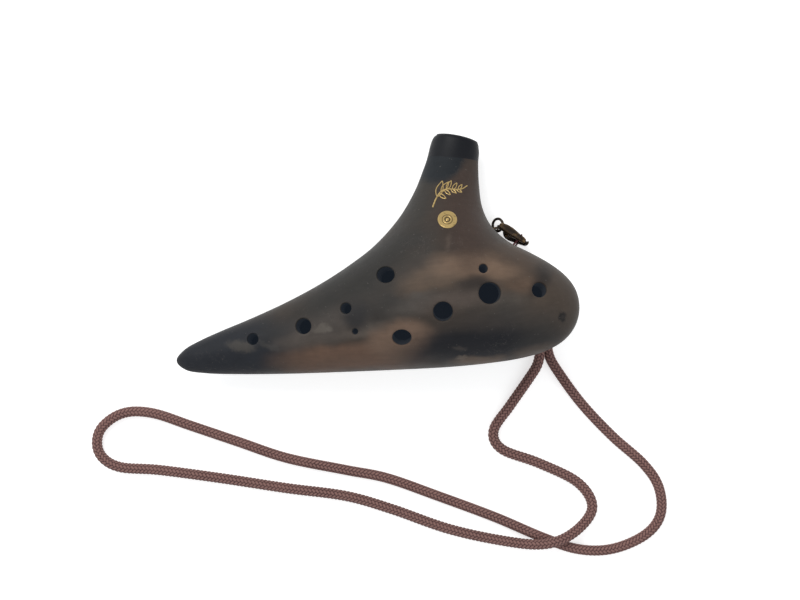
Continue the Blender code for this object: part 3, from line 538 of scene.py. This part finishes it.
def plan_mesh(loop, holes, step, strip, depth, rim):
    """Flat mesh of the region in the loop: points, triangles, rim loops, hole discs and the outer ring."""
    points = [loop]
    rings = [list(range(len(loop)))]
    size = np.minimum(depth, 0.55 * radius_of(loop))
    normal = inward(loop)
    gap = np.linalg.norm(loop - np.roll(loop, 1, axis=0), axis=1)
    for _ in range(60):
        size = np.minimum(size, np.roll(size, 1) + 0.45 * gap)
        size = np.minimum(size, np.roll(size, -1) + 0.45 * np.roll(gap, -1))
        crowded = near(loop + normal * size[:, None], loop) < 0.93 * size
        size = np.where(crowded, 0.9 * size, size)
    total = len(loop)
    for f in strip[1:]:
        points.append(loop + normal * (size * f)[:, None])
        rings.append(list(range(total, total + len(loop))))
        total += len(loop)
    tris = []
    for a, b in zip(rings[:-1], rings[1:]):
        tris += quads(a, b)
    border = [(rings[-1], points[-1])]
    hole_rims, discs = [], []
    for x, y, w, h in holes:
        count = max(16, 2 * int(round(math.pi * (w + h) / 4 / HOLE_STEP)))
        last = None
        for grow in rim:
            ring = ellipse_loop(x, y, w, h, count, grow)
            index = list(range(total, total + count))
            total += count
            points.append(ring)
            if last is None:
                hole_rims.append(index)
                inner = index
            else:
                tris += quads(index, last)
            last = index
        border.append((last, points[-1]))
        points.append(np.array([[x, y]]))
        discs += [(inner[i], inner[(i + 1) % count], total) for i in range(count)]
        total += 1
    lo, hi = loop.min(0), loop.max(0)
    nx, ny = int((hi[0] - lo[0]) / step) + 2, int((hi[1] - lo[1]) / (step * 0.866)) + 2
    grid = np.array([(lo[0] + (i + 0.5 * (j % 2)) * step, lo[1] + j * step * 0.866)
                     for j in range(ny) for i in range(nx)])
    grid = grid[inside(grid, border[0][1])]
    fences = np.vstack([b[1] for b in border])
    grid = grid[near(grid, fences) > 0.62 * step]
    for _, ring in border[1:]:
        grid = grid[~inside(grid, ring)]
    flat = np.vstack([b[1] for b in border] + [grid])
    index = [i for b in border for i in b[0]] + list(range(total, total + len(grid)))
    points.append(grid)
    edges, at = [], 0
    for ring, _ in border:
        edges += [(at + i, at + (i + 1) % len(ring)) for i in range(len(ring))]
        at += len(ring)
    cdt = geometry.delaunay_2d_cdt([Vector(p) for p in flat], edges, [], 0, 1e-7)
    where = [o[0] for o in cdt[3]]
    faces = np.array([[where[v] for v in f] for f in cdt[2]])
    middle = flat[faces].mean(1)
    keep = inside(middle, border[0][1]) & (flat_area(flat[faces]) > 0.0005)
    for _, ring in border[1:]:
        keep &= ~inside(middle, ring)
    tris += [tuple(index[v] for v in f) for f in faces[keep]]
    return np.vstack(points), np.array(tris), hole_rims, np.array(discs).reshape(-1, 3), rings[0]


def inflate(points, tris, fixed):
    """Solve -laplacian(u) = 1 over the flat mesh, with u = 0 at the fixed points."""
    p = points[tris]
    area = 0.5 * ((p[:, 1, 0] - p[:, 0, 0]) * (p[:, 2, 1] - p[:, 0, 1])
                  - (p[:, 1, 1] - p[:, 0, 1]) * (p[:, 2, 0] - p[:, 0, 0]))
    area = np.maximum(np.abs(area), 1e-6)
    count = len(points)
    load = np.bincount(tris.ravel(), np.repeat(area / 3.0, 3), count)
    a_end, b_end, weight = [], [], []
    for k in range(3):
        i, j, o = tris[:, (k + 1) % 3], tris[:, (k + 2) % 3], tris[:, k]
        e1, e2 = points[i] - points[o], points[j] - points[o]
        a_end.append(i)
        b_end.append(j)
        weight.append((e1 * e2).sum(1) / (4.0 * area))
    a_end, b_end, weight = np.concatenate(a_end), np.concatenate(b_end), np.concatenate(weight)
    free = np.ones(count, bool)
    free[fixed] = False
    diagonal = np.bincount(a_end, weight, count) + np.bincount(b_end, weight, count)
    diagonal = np.where(diagonal > 1e-9, diagonal, 1.0)

    def apply(x):
        d = weight * (x[a_end] - x[b_end])
        return (np.bincount(a_end, d, count) - np.bincount(b_end, d, count)) * free

    u = np.zeros(count)
    r = load * free
    z = r / diagonal
    q = z.copy()
    rz = r @ z
    for _ in range(6000):
        aq = apply(q)
        step = rz / (q @ aq)
        u += step * q
        r -= step * aq
        z = r / diagonal
        new = r @ z
        if new < 1e-13 * (load @ load):
            break
        q = z + new / rz * q
        rz = new
    return np.maximum(u, 0.0)


def ease(t):
    t = np.clip(t, 0.0, 1.0)
    return t * t * (2.0 - t)


def middle_z(p):
    """Height of the surface in which the two halves meet."""
    along = ease(1.0 + past_end(p) / NECK_START)
    return BELLY_Z + TAIL_TILT * (p[..., 0] - TILT_FROM) - NECK_DROP * along


def thickness(points, u):
    along = ease(1.0 + past_end(points) / NECK_START)
    h = FULLNESS * np.sqrt(4.0 * u) * (1.0 - NECK_THIN * along)
    d = np.clip(END_RIM + past_end(points), 0.0, END_RIM)
    return np.where(h > 0.0, np.maximum(h - (END_RIM - np.sqrt(END_RIM ** 2 - d ** 2)), 0.05), 0.0)


def rest_flat(z):
    """Soften the very bottom into a slight flat at z = 0."""
    k = FLAT
    return np.where(z > k, z, np.where(z < -k, 0.0, (z + k) ** 2 / (4.0 * k)))


def lean_end(points):
    """Lean the mouthpiece's end so that it is square to the neck."""
    out = points.copy()
    fade = ease(1.0 + past_end(points) / 14.0)
    shift = (points[:, 2] - middle_z(points[:, :2])) * math.tan(math.radians(END_LEAN)) * fade
    out[:, :2] += shift[:, None] * END_N
    return out


def softened(points, holes):
    """How far the surface drops near the holes, whose edges are rounded over."""
    drop = np.zeros(len(points))
    for x, y, w, h in holes:
        fillet = 0.30 + 0.05 * w
        d = points - (x, y)
        r = np.linalg.norm(d / (w / 2, h / 2), axis=1)
        grow = np.maximum((r - 1.0) * (w + h) / 4, 0.0)
        t = np.clip(fillet - grow, 0.0, fillet)
        drop = np.maximum(drop, fillet - np.sqrt(fillet ** 2 - t ** 2))
    return drop


def clay_half(side, holes):
    """Outer and inner skins of one half: points, faces, and the two rings where it meets the other."""
    loop = plan_loop(OUTLINE, EDGE_STEP, CORNER, end_line=True)
    pts, tris, rims, discs, ring = plan_mesh(loop, holes, FACE_STEP, STRIP, STRIP_DEPTH, RIM)
    fixed = [i for i in ring if past_end(loop)[i] <= -0.25]
    u = inflate(pts, np.vstack([tris, discs]), fixed)
    h = thickness(pts, u)
    mid = middle_z(pts)
    z_out = mid + side * (h + SEAM / 2)
    if side < 0:
        z_out = np.where(h > 0.0, rest_flat(z_out), z_out)
    slope = []
    for x, y, w, hh in holes:
        around = np.linalg.norm(pts - (x, y), axis=1) < 7.0
        fit = np.column_stack([pts[around] - (x, y), np.ones(around.sum())])
        slope.append(np.linalg.lstsq(fit, z_out[around] * side, rcond=None)[0][:2])
    slope = np.array(slope)
    lean = slope / np.sqrt(1.0 + (slope ** 2).sum(1))[:, None]
    z_out = z_out - side * softened(pts, holes)

    chamber = plan_loop(CHAMBER, INSIDE_STEP, 1.0)
    deep_holes = [(x + lean[k, 0] * WALL, y + lean[k, 1] * WALL, w, hh)
                  for k, (x, y, w, hh) in enumerate(holes)]
    inner = plan_mesh(chamber, deep_holes, INSIDE_STEP, (0.0, 0.25, 1.0), 1.0, (0.0, 0.3))
    ipts, itris, irims, idiscs, iring = inner
    iu = inflate(ipts, np.vstack([itris, idiscs]), iring)
    z_in = middle_z(ipts) + side * (FULLNESS * np.sqrt(4.0 * iu) + SEAM / 2)

    base = len(pts)
    points = np.vstack([np.column_stack([pts, z_out]), np.column_stack([ipts, z_in])])
    faces = [tuple(t) for t in tris]
    inside_faces = [tuple(base + i for i in t[::-1]) for t in itris]
    for rim, irim in zip(rims, irims):
        m = len(rim)
        lip = len(points)
        upper, lower = points[rim], points[[base + i for i in irim]]
        points = np.vstack([points, upper + (lower - upper) * (HOLE_LIP / WALL)])
        for k in range(m):
            j = (k + 1) % m
            faces.append((rim[k], rim[j], lip + j, lip + k))
            inside_faces.append((lip + k, lip + j, base + irim[j], base + irim[k]))
    if side < 0:
        faces = [f[::-1] for f in faces]
        inside_faces = [f[::-1] for f in inside_faces]
    return lean_end(points), faces, inside_faces, list(ring), [base + i for i in iring]


def clay_mesh():
    front = clay_half(1, FINGER_HOLES)
    back = clay_half(-1, THUMB_HOLES)
    shift = len(front[0])
    points = np.vstack([front[0], back[0]])
    outer = front[1] + [tuple(i + shift for i in f) for f in back[1]]
    inner = front[2] + [tuple(i + shift for i in f) for f in back[2]]
    for k, kind in ((3, outer), (4, inner)):
        ring_f, ring_b = front[k], [i + shift for i in back[k]]
        n = len(ring_f)
        for i in range(n):
            quad = (ring_b[i], ring_b[(i + 1) % n], ring_f[(i + 1) % n], ring_f[i])
            kind.append(quad if k == 3 else quad[::-1])
    mesh = new_mesh("clay_body", points, outer + inner)
    mesh.polygons.foreach_set("material_index", [0] * len(outer) + [1] * len(inner))
    bm = bmesh.new()
    bm.from_mesh(mesh)
    bmesh.ops.delete(bm, geom=[v for v in bm.verts if not v.link_faces], context="VERTS")
    bmesh.ops.recalc_face_normals(bm, faces=bm.faces)
    bm.to_mesh(mesh)
    bm.free()
    return mesh


def cut_voicing(body):
    """Windway, window and labium ramp, cut along the neck as in the CAD."""
    into = Vector((-END_N[0], -END_N[1], 0.0))
    side = Vector((END_T[0], END_T[1], 0.0))
    place = Matrix((into, Vector((0.0, 0.0, 1.0)), side)).transposed().to_4x4()
    place.translation = Vector((END_POINT[0], END_POINT[1], 0.0))
    low, high = WINDWAY_Z - WINDWAY_HEIGHT / 2, WINDWAY_Z + WINDWAY_HEIGHT / 2
    edge = WINDWAY_LENGTH + WINDOW_LENGTH
    path = [(-4.0, low), (WINDWAY_LENGTH, low), (WINDWAY_LENGTH, -6.0), (edge + RAMP_LENGTH, -6.0),
            (edge + RAMP_LENGTH, 0.0), (edge, WINDWAY_Z), (edge, WINDOW_DEPTH),
            (WINDWAY_LENGTH, WINDOW_DEPTH), (WINDWAY_LENGTH, high), (-4.0, high)]
    half = WINDWAY_WIDTH / 2
    n = len(path)
    points = [place @ Vector((a, b, c)) for c in (-half, half) for a, b in path]
    faces = [tuple(range(n - 1, -1, -1)), tuple(range(n, 2 * n))]
    faces += [(k, (k + 1) % n, n + (k + 1) % n, n + k) for k in range(n)]
    mesh = new_mesh("voicing", points, faces)
    bm = bmesh.new()
    bm.from_mesh(mesh)
    bmesh.ops.recalc_face_normals(bm, faces=bm.faces)
    bm.to_mesh(mesh)
    bm.free()
    cutter = link("voicing", mesh, *body.data.materials)
    step = body.modifiers.new("voicing", "BOOLEAN")
    step.operation = "DIFFERENCE"
    step.solver = "EXACT"
    step.object = cutter
    bpy.context.view_layer.update()
    seen = body.evaluated_get(bpy.context.evaluated_depsgraph_get())
    cut = bpy.data.meshes.new_from_object(seen)
    body.modifiers.clear()
    body.data = cut
    bpy.data.objects.remove(cutter, do_unlink=True)
    cut.polygons.foreach_set("use_smooth", [True] * len(cut.polygons))
    cut.set_sharp_from_angle(angle=math.radians(38.0))


# ---- smoke-fired clay ------------------------------------------------------------------------------

CLAY_GAIN = 0.75            # base colour as a share of the tone that it shows in the studio light
# Smoke clouds, painted one over another: x, y, half length, half width, turn in degrees, softness, strength,
# and colour.
CLOUDS = [
    (-9.1, -10.5, 31.0, 9.5, 36.0, 0.6, 0.85, (48, 48, 47)),
    (-63.0, -42.0, 31.0, 12.5, 13.0, 0.42, 0.96, (39, 42, 48)),
    (-11.4, -43.6, 27.0, 6.2, 2.0, 0.5, 0.96, (104, 82, 69)),
    (-22.6, -31.1, 15.0, 5.4, 17.0, 0.75, 0.8, (80, 74, 70)),
    (-44.0, -33.5, 10.0, 4.0, 22.0, 0.8, 0.5, (50, 49, 49)),
    (-30.0, -36.2, 10.0, 3.0, 8.0, 0.8, 0.75, (84, 77, 72)),
    (-3.0, -30.8, 12.0, 2.6, 12.0, 0.7, 0.85, (92, 84, 78)),
    (9.4, -35.4, 12.8, 7.4, 10.0, 0.4, 0.92, (117, 96, 82)),
    (4.4, -20.8, 9.5, 7.0, 20.0, 0.8, 0.75, (56, 55, 54)),
    (-7.0, -24.9, 5.2, 4.8, 30.0, 0.7, 0.85, (45, 45, 47)),
    (16.0, -20.6, 9.0, 3.8, 16.0, 0.7, 0.8, (84, 79, 75)),
    (33.6, -19.6, 13.0, 3.8, 8.0, 0.8, 0.85, (90, 80, 74)),
    (70.8, -19.6, 13.0, 12.0, 0.0, 0.7, 0.85, (78, 68, 60)),
    (51.0, -25.5, 12.0, 4.0, 4.0, 0.8, 0.5, (74, 68, 62)),
    (46.2, -30.3, 20.0, 5.5, 6.0, 0.8, 0.7, (54, 50, 49)),
    (41.0, -38.2, 29.0, 6.6, 5.0, 0.5, 0.98, (30, 31, 36)),
    (66.0, -34.0, 10.0, 6.0, 30.0, 0.8, 0.6, (54, 53, 52)),
    (24.0, -11.0, 14.0, 4.4, 14.0, 0.6, 0.9, (98, 83, 71)),
    (55.0, -3.0, 13.0, 6.0, -12.0, 0.7, 0.85, (80, 66, 56)),
    (40.0, -6.2, 16.0, 5.6, -3.0, 0.5, 0.97, (122, 101, 85)),
    (57.5, -13.2, 8.5, 3.6, 6.0, 0.7, 0.85, (98, 80, 67)),
    (53.0, -18.6, 9.0, 2.8, 4.0, 0.8, 0.6, (82, 75, 69)),
    (39.8, -13.5, 6.2, 2.9, 10.0, 0.75, 0.9, (52, 47, 44)),
    (67.4, -11.0, 6.5, 3.4, 51.0, 0.8, 0.88, (44, 39, 37)),
    (42.0, -45.2, 10.0, 2.3, 5.0, 0.5, 0.92, (96, 82, 71)),
    (63.9, -41.0, 7.6, 2.6, 13.0, 0.6, 0.85, (82, 72, 65)),
    (35.6, 17.0, 24.0, 9.5, 96.0, 0.6, 0.92, (69, 56, 50)),
    (17.8, 24.8, 17.0, 5.6, 68.0, 0.6, 0.75, (54, 52, 49)),
    (27.6, 39.4, 11.5, 7.0, 38.0, 0.24, 0.97, (32, 37, 42)),
]
CLEAN_EDGED = 1.8           # marks with a half length up to this have no broken edge
# Small scuffs, stains and marks, and the painted shade of one small dimple, given in the same way.
SCUFFS_AND_DIMPLE_SHADE = [
    (-57.2, -38.9, 5.6, 2.2, -8.0, 0.5, 0.85, (74, 71, 68)),
    (-44.4, -39.0, 4.6, 1.2, -18.0, 0.7, 0.6, (72, 70, 68)),
    (-22.8, -31.3, 3.4, 1.7, 10.0, 0.5, 0.8, (98, 92, 86)),
    (-19.6, -31.6, 1.3, 1.0, 0.0, 0.6, 0.7, (104, 98, 92)),
    (34.5, -43.4, 2.2, 1.0, 10.0, 0.6, 0.7, (108, 96, 86)),
    (33.6, -39.3, 2.4, 1.0, -6.0, 0.7, 0.5, (78, 72, 68)),
    (29.0, 3.5, 1.1, 3.6, -12.0, 0.8, 0.45, (92, 80, 72)),
    (16.0, -17.3, 3.8, 0.9, 4.0, 0.8, 0.5, (84, 79, 75)),
    # A small dimple, as painted shade: a dark round spot with a lighter middle, on a surface without a hollow.
    (75.8, -26.4, 1.75, 2.1, 20.0, 0.4, 0.92, (32, 30, 31)),
    (76.0, -26.6, 0.75, 0.9, 0.0, 0.4, 0.75, (50, 46, 44)),
]


def burnt(red, green, blue):
    """Base colour that the studio light lifts to the given sRGB one."""
    return (*(CLAY_GAIN * c for c in linear(red, green, blue)[:3]), 1.0)


def stained(s, colour, spots, place):
    """The colour with soft-edged spots painted over it, one after another."""
    for x, y, length, width, turn, soft, strength, tone in spots:
        where = s.map((x * MM, y * MM, 0.0), math.radians(turn), (length * MM, width * MM, 1.0), place)
        flat = s.vector("MULTIPLY", where, (1.0, 1.0, 0.0))
        mask = s.step(s.vector("LENGTH", flat), 1.0 + soft, 1.0 - soft, 0.0, strength)
        colour = s.mix(mask, colour, burnt(*tone))
    return colour


def clay_looks():
    s = Shade("smoke_fired_clay")
    wander = s.vector("SUBTRACT", s.noise(0.022, 3.0, 0.55, colour=True), (0.5, 0.5, 0.5))
    bent = s.vector("ADD", s.place, s.vector("SCALE", wander, scale=0.010))
    broad = s.noise(0.03, 3.0, 0.5)
    colour = s.mix(s.step(broad, 0.35, 0.68), burnt(66, 58, 52), burnt(58, 56, 54))
    colour = stained(s, colour, CLOUDS, bent)
    torn = s.vector("SUBTRACT", s.noise(0.0022, 4.0, 0.65, colour=True), (0.5, 0.5, 0.5))
    torn = s.vector("ADD", s.place, s.vector("SCALE", torn, scale=0.0034))
    for spot in SCUFFS_AND_DIMPLE_SHADE:
        colour = stained(s, colour, [spot], torn if max(spot[2:4]) > CLEAN_EDGED else s.place)
    crack = s.math("ABSOLUTE", s.math("SUBTRACT", s.noise(0.0042, 3.0, 0.6), 0.5))
    crack = s.math("MULTIPLY", s.step(crack, 0.010, 0.0), s.step(s.noise(0.016, 2.0), 0.56, 0.66))
    colour = s.mix(s.math("MULTIPLY", crack, 0.26), colour, burnt(112, 106, 100))
    speck = s.step(s.noise(0.0011, 2.0, 0.5), 0.70, 0.76)
    colour = s.mix(s.math("MULTIPLY", speck, 0.35), colour, burnt(112, 108, 104))
    streaks = s.noise(0.0016, 4.0, 0.6, stretch=(7.0, 1.0, 1.0), turn=math.radians(8.0))
    mottle = s.noise(0.006, 4.0, 0.6)
    shade = s.math("ADD", s.math("MULTIPLY", streaks, 0.30), s.math("MULTIPLY", mottle, 0.42))
    colour = s.mix(1.0, colour, s.step(shade, 0.2, 0.52, 0.84, 1.18, smooth=False), "MULTIPLY")
    grain = s.noise(0.0006, 3.0, 0.6)
    normal = s.bump(grain, 0.00010, 0.35)
    normal = s.bump(streaks, 0.00010, 0.25, normal)

    edge = s.vector("DOT_PRODUCT", s.place, (0.0965, 0.9953, 0.0))
    edge = s.math("ADD", edge, s.math("MULTIPLY", s.math("SUBTRACT", mottle, 0.5), 0.0006))
    band = s.step(edge, 0.04372, 0.04402)
    colour = s.mix(band, colour, burnt(25, 27, 32))
    rough = s.step(mottle, 0.3, 0.7, 0.50, 0.60)
    rough = s.math("ADD", rough, s.math("MULTIPLY", band, -0.12))
    s.finish(Base_Color=colour, Roughness=rough, Normal=normal)
    s.shader.inputs["Specular IOR Level"].default_value = 0.15

    # Inside of the chamber and the hole walls below the lip: painted shade, a near-black colour, with a faint
    # dark blue-grey glow of its own that is no lamp.
    inside_shade = Shade("painted_shade_inside")
    shade_noise = inside_shade.noise(0.004, 4.0, 0.6)
    inside_shade.finish(Base_Color=inside_shade.mix(shade_noise, linear(9, 11, 14), linear(14, 17, 21)), Roughness=0.9,
               Normal=inside_shade.bump(inside_shade.noise(0.001, 3.0), 0.0003, 0.5))
    inside_shade.shader.inputs["Emission Color"].default_value = linear(24, 29, 36)
    inside_shade.shader.inputs["Emission Strength"].default_value = 0.9
    return s.material, inside_shade.material


def bronze_look(name, wear_and_highlight):
    """Dark antique bronze; the second argument is how much of it is lightened, from 0 to 1, by rubbed wear and
    by painted highlight on its edges.
    """
    s = Shade(name)
    wear = s.noise(0.0022, 5.0, 0.6)
    fine = s.noise(0.0005, 3.0, 0.6)
    edge = s.add("ShaderNodeNewGeometry").outputs["Pointiness"]
    # Patchy rubbed wear, and edges picked out by pointiness lightened: partly edge wear, partly a painted
    # highlight along the edges.
    rubbed, edge_wear_and_highlight = s.step(wear, 0.42, 0.7, 0.0, wear_and_highlight), s.step(edge, 0.52, 0.62, 0.0, wear_and_highlight)
    polish_and_highlight = s.math("ADD", rubbed, edge_wear_and_highlight, clamp=True)
    colour = s.mix(polish_and_highlight, linear(38, 36, 36), linear(142, 112, 72))
    s.finish(Base_Color=colour, Metallic=0.9, Roughness=s.step(polish_and_highlight, 0.0, 1.0, 0.42, 0.28),
             Normal=s.bump(fine, 0.00005, 0.3))
    return s.material


def gilt_look():
    s = Shade("gilt")
    wear = s.noise(0.0012, 5.0, 0.65)
    level = s.attribute("level")
    patina = s.math("MULTIPLY", s.step(level, 0.55, 0.1), 0.9)
    colour = s.mix(s.step(wear, 0.55, 0.75), linear(182, 156, 102), linear(118, 98, 66))
    colour = s.mix(patina, colour, linear(52, 40, 26))
    s.finish(Base_Color=colour, Metallic=0.75, Roughness=0.38, Normal=s.bump(wear, 0.0001, 0.35))
    return s.material


def thread_look():
    s = Shade("dark_red_thread")
    twist = s.add("ShaderNodeTexWave", wave_type="BANDS", bands_direction="DIAGONAL")
    s.feed(twist.inputs["Vector"], s.map(size=(0.0011, 0.0011, 0.0011)))
    twist.inputs["Scale"].default_value = 1.0
    twist.inputs["Distortion"].default_value = 1.5
    fibre = twist.outputs["Fac"]
    s.finish(Base_Color=s.mix(fibre, linear(52, 16, 22), linear(104, 34, 42)), Roughness=0.75,
             Normal=s.bump(fibre, 0.00012, 0.6))
    return s.material


# ---- gilt marks ------------------------------------------------------------------------------------

MARK_AT = (29.8, 26.3)
ROUNDEL_AT = (28.86, 13.58)
ROUNDEL_SIZE = (4.0, 3.72)
# The sprig: a stem and its leaves, each a stroke through a few points about MARK_AT.
STEM = [(-6.9, -7.4), (-5.4, -3.6), (-3.4, -0.6), (-0.6, 0.6), (2.6, 0.4), (5.4, 0.7), (7.8, 2.2)]
LEAVES = [(-4.9, -2.8, 72.0, 7.4), (-3.2, -0.5, 52.0, 5.4), (-0.9, 0.5, 62.0, 4.3), (1.6, 0.4, 58.0, 3.5),
          (4.0, 0.4, 55.0, 2.8), (-4.2, -1.6, -35.0, 3.6), (-1.8, 0.2, -42.0, 3.2), (0.9, 0.5, -38.0, 2.8),
          (3.4, 0.4, -30.0, 2.4)]


class Surface:
    """The front of the finished body, to lay marks on."""

    def __init__(self, body):
        mesh = body.data
        self.tree = BVHTree.FromPolygons([v.co.copy() for v in mesh.vertices],
                                         [tuple(p.vertices) for p in mesh.polygons])

    def at(self, x, y):
        start = (np.array([x, y, 200.0]) - MIDDLE) * MM
        point, normal, _, _ = self.tree.ray_cast(Vector(start), Vector((0.0, 0.0, -1.0)))
        return point / MM + Vector(MIDDLE), normal


def stroke(surface, line, widths, height, points, faces, levels):
    """A low rounded ridge along a plan line."""
    profile = [(-1.0, -0.25), (-0.72, 0.55), (0.0, 1.0), (0.72, 0.55), (1.0, -0.25)]
    n, m = len(line), len(profile)
    start = len(points)
    along = np.gradient(line, axis=0)
    for k in range(n):
        d = along[k] / np.linalg.norm(along[k])
        for a, b in profile:
            x, y = line[k] + np.array([-d[1], d[0]]) * a * widths[k]
            at, normal = surface.at(x, y)
            points.append(tuple(at + normal * (height * b)))
            levels.append(max(0.0, b))
    for k in range(n - 1):
        for i in range(m - 1):
            a = start + k * m + i
            faces.append((a, a + 1, a + m + 1, a + m))
    faces.append(tuple(start + i for i in range(m)))
    faces.append(tuple(start + (n - 1) * m + i for i in reversed(range(m))))


def leaf_line(x, y, turn, length):
    """Closed outline of a slim leaf that starts and ends at its stalk."""
    a = math.radians(turn)
    width = 0.19 * length
    t = np.linspace(0.0, 1.0, 15)
    bulge = np.sin(math.pi * t ** 0.8) * width
    there = np.column_stack([t * length, bulge])
    back = np.column_stack([t[::-1] * length, -bulge[::-1]])
    out = np.concatenate([there, back[1:]])
    rot = np.array([[math.cos(a), math.sin(a)], [-math.sin(a), math.cos(a)]])
    return out @ rot + (x, y)


def gild(name, points, faces, levels, look):
    mesh = new_mesh(name, points, faces)
    layer = mesh.attributes.new("level", "FLOAT", "POINT")
    layer.data.foreach_set("value", levels)
    mark = link(name, mesh, look)
    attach(mark, "ocarina")


def make_sprig(surface, look):
    points, faces, levels = [], [], []
    stem = resample(curve_through(STEM, 8), 0.25) + MARK_AT
    t = np.linspace(0.0, 1.0, len(stem))
    stroke(surface, stem, 0.36 - 0.10 * t, 0.16, points, faces, levels)
    for x, y, turn, length in LEAVES:
        line = leaf_line(x + MARK_AT[0], y + MARK_AT[1], turn, length)
        line = resample(line, 0.25)
        stroke(surface, line, np.full(len(line), 0.22), 0.13, points, faces, levels)
    gild("gilt_sprig", points, faces, levels, look)


def make_roundel(surface, look):
    """A low turned disc: a dot in a ring, inside a raised rim."""
    profile = [(0.0, 0.22), (0.09, 0.20), (0.14, 0.10), (0.18, 0.03), (0.30, 0.02), (0.35, 0.10), (0.40, 0.2),
               (0.45, 0.10), (0.49, 0.03), (0.56, 0.04), (0.62, 0.1), (0.78, 0.12), (0.86, 0.16), (0.92, 0.22),
               (0.97, 0.18), (1.0, 0.05), (1.02, -0.15)]
    around = 72
    points, levels = [], []
    for r, z in profile:
        for k in range(around if r > 0.0 else 1):
            a = 2 * math.pi * k / around
            x = ROUNDEL_AT[0] + ROUNDEL_SIZE[0] * r * math.cos(a)
            y = ROUNDEL_AT[1] + ROUNDEL_SIZE[1] * r * math.sin(a)
            at, normal = surface.at(x, y)
            points.append(tuple(at + normal * z))
            levels.append(z / 0.15)
    faces = [(0, 1 + k, 1 + (k + 1) % around) for k in range(around)]
    for i in range(len(profile) - 2):
        a, b = 1 + i * around, 1 + (i + 1) * around
        faces += [(a + k, b + k, b + (k + 1) % around, a + (k + 1) % around) for k in range(around)]
    gild("gilt_roundel", points, faces, levels, look)


# ---- everything ------------------------------------------------------------------------------------

def main():
    make_camera()
    make_cord(braid_look())
    make_stage()
    clay, inside_shade = clay_looks()
    body = link("clay_body", clay_mesh(), clay, inside_shade)
    cut_voicing(body)
    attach(body, "ocarina")
    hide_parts("front_shell", "back_shell")
    surface, gilt = Surface(body), gilt_look()
    make_sprig(surface, gilt)
    make_roundel(surface, gilt)
    thread = thread_look()
    # The clasp trigger, pin and end cap take a lighter copy of the same bronze: rubbed wear, and on the
    # trigger a painted highlight for its bright rim.
    dark, bronze = bronze_look("dark_bronze", 0.10), bronze_look("antique_bronze", 0.36)
    looks = {"clasp_body": dark, "jump_ring": dark, "clasp_pin": bronze, "clasp_trigger": bronze,
             "end_cap": bronze, "thread_loop": thread, "strap_lug": clay}
    for name, look in looks.items():
        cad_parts[name].data.materials.clear()
        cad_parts[name].data.materials.append(look)


main()
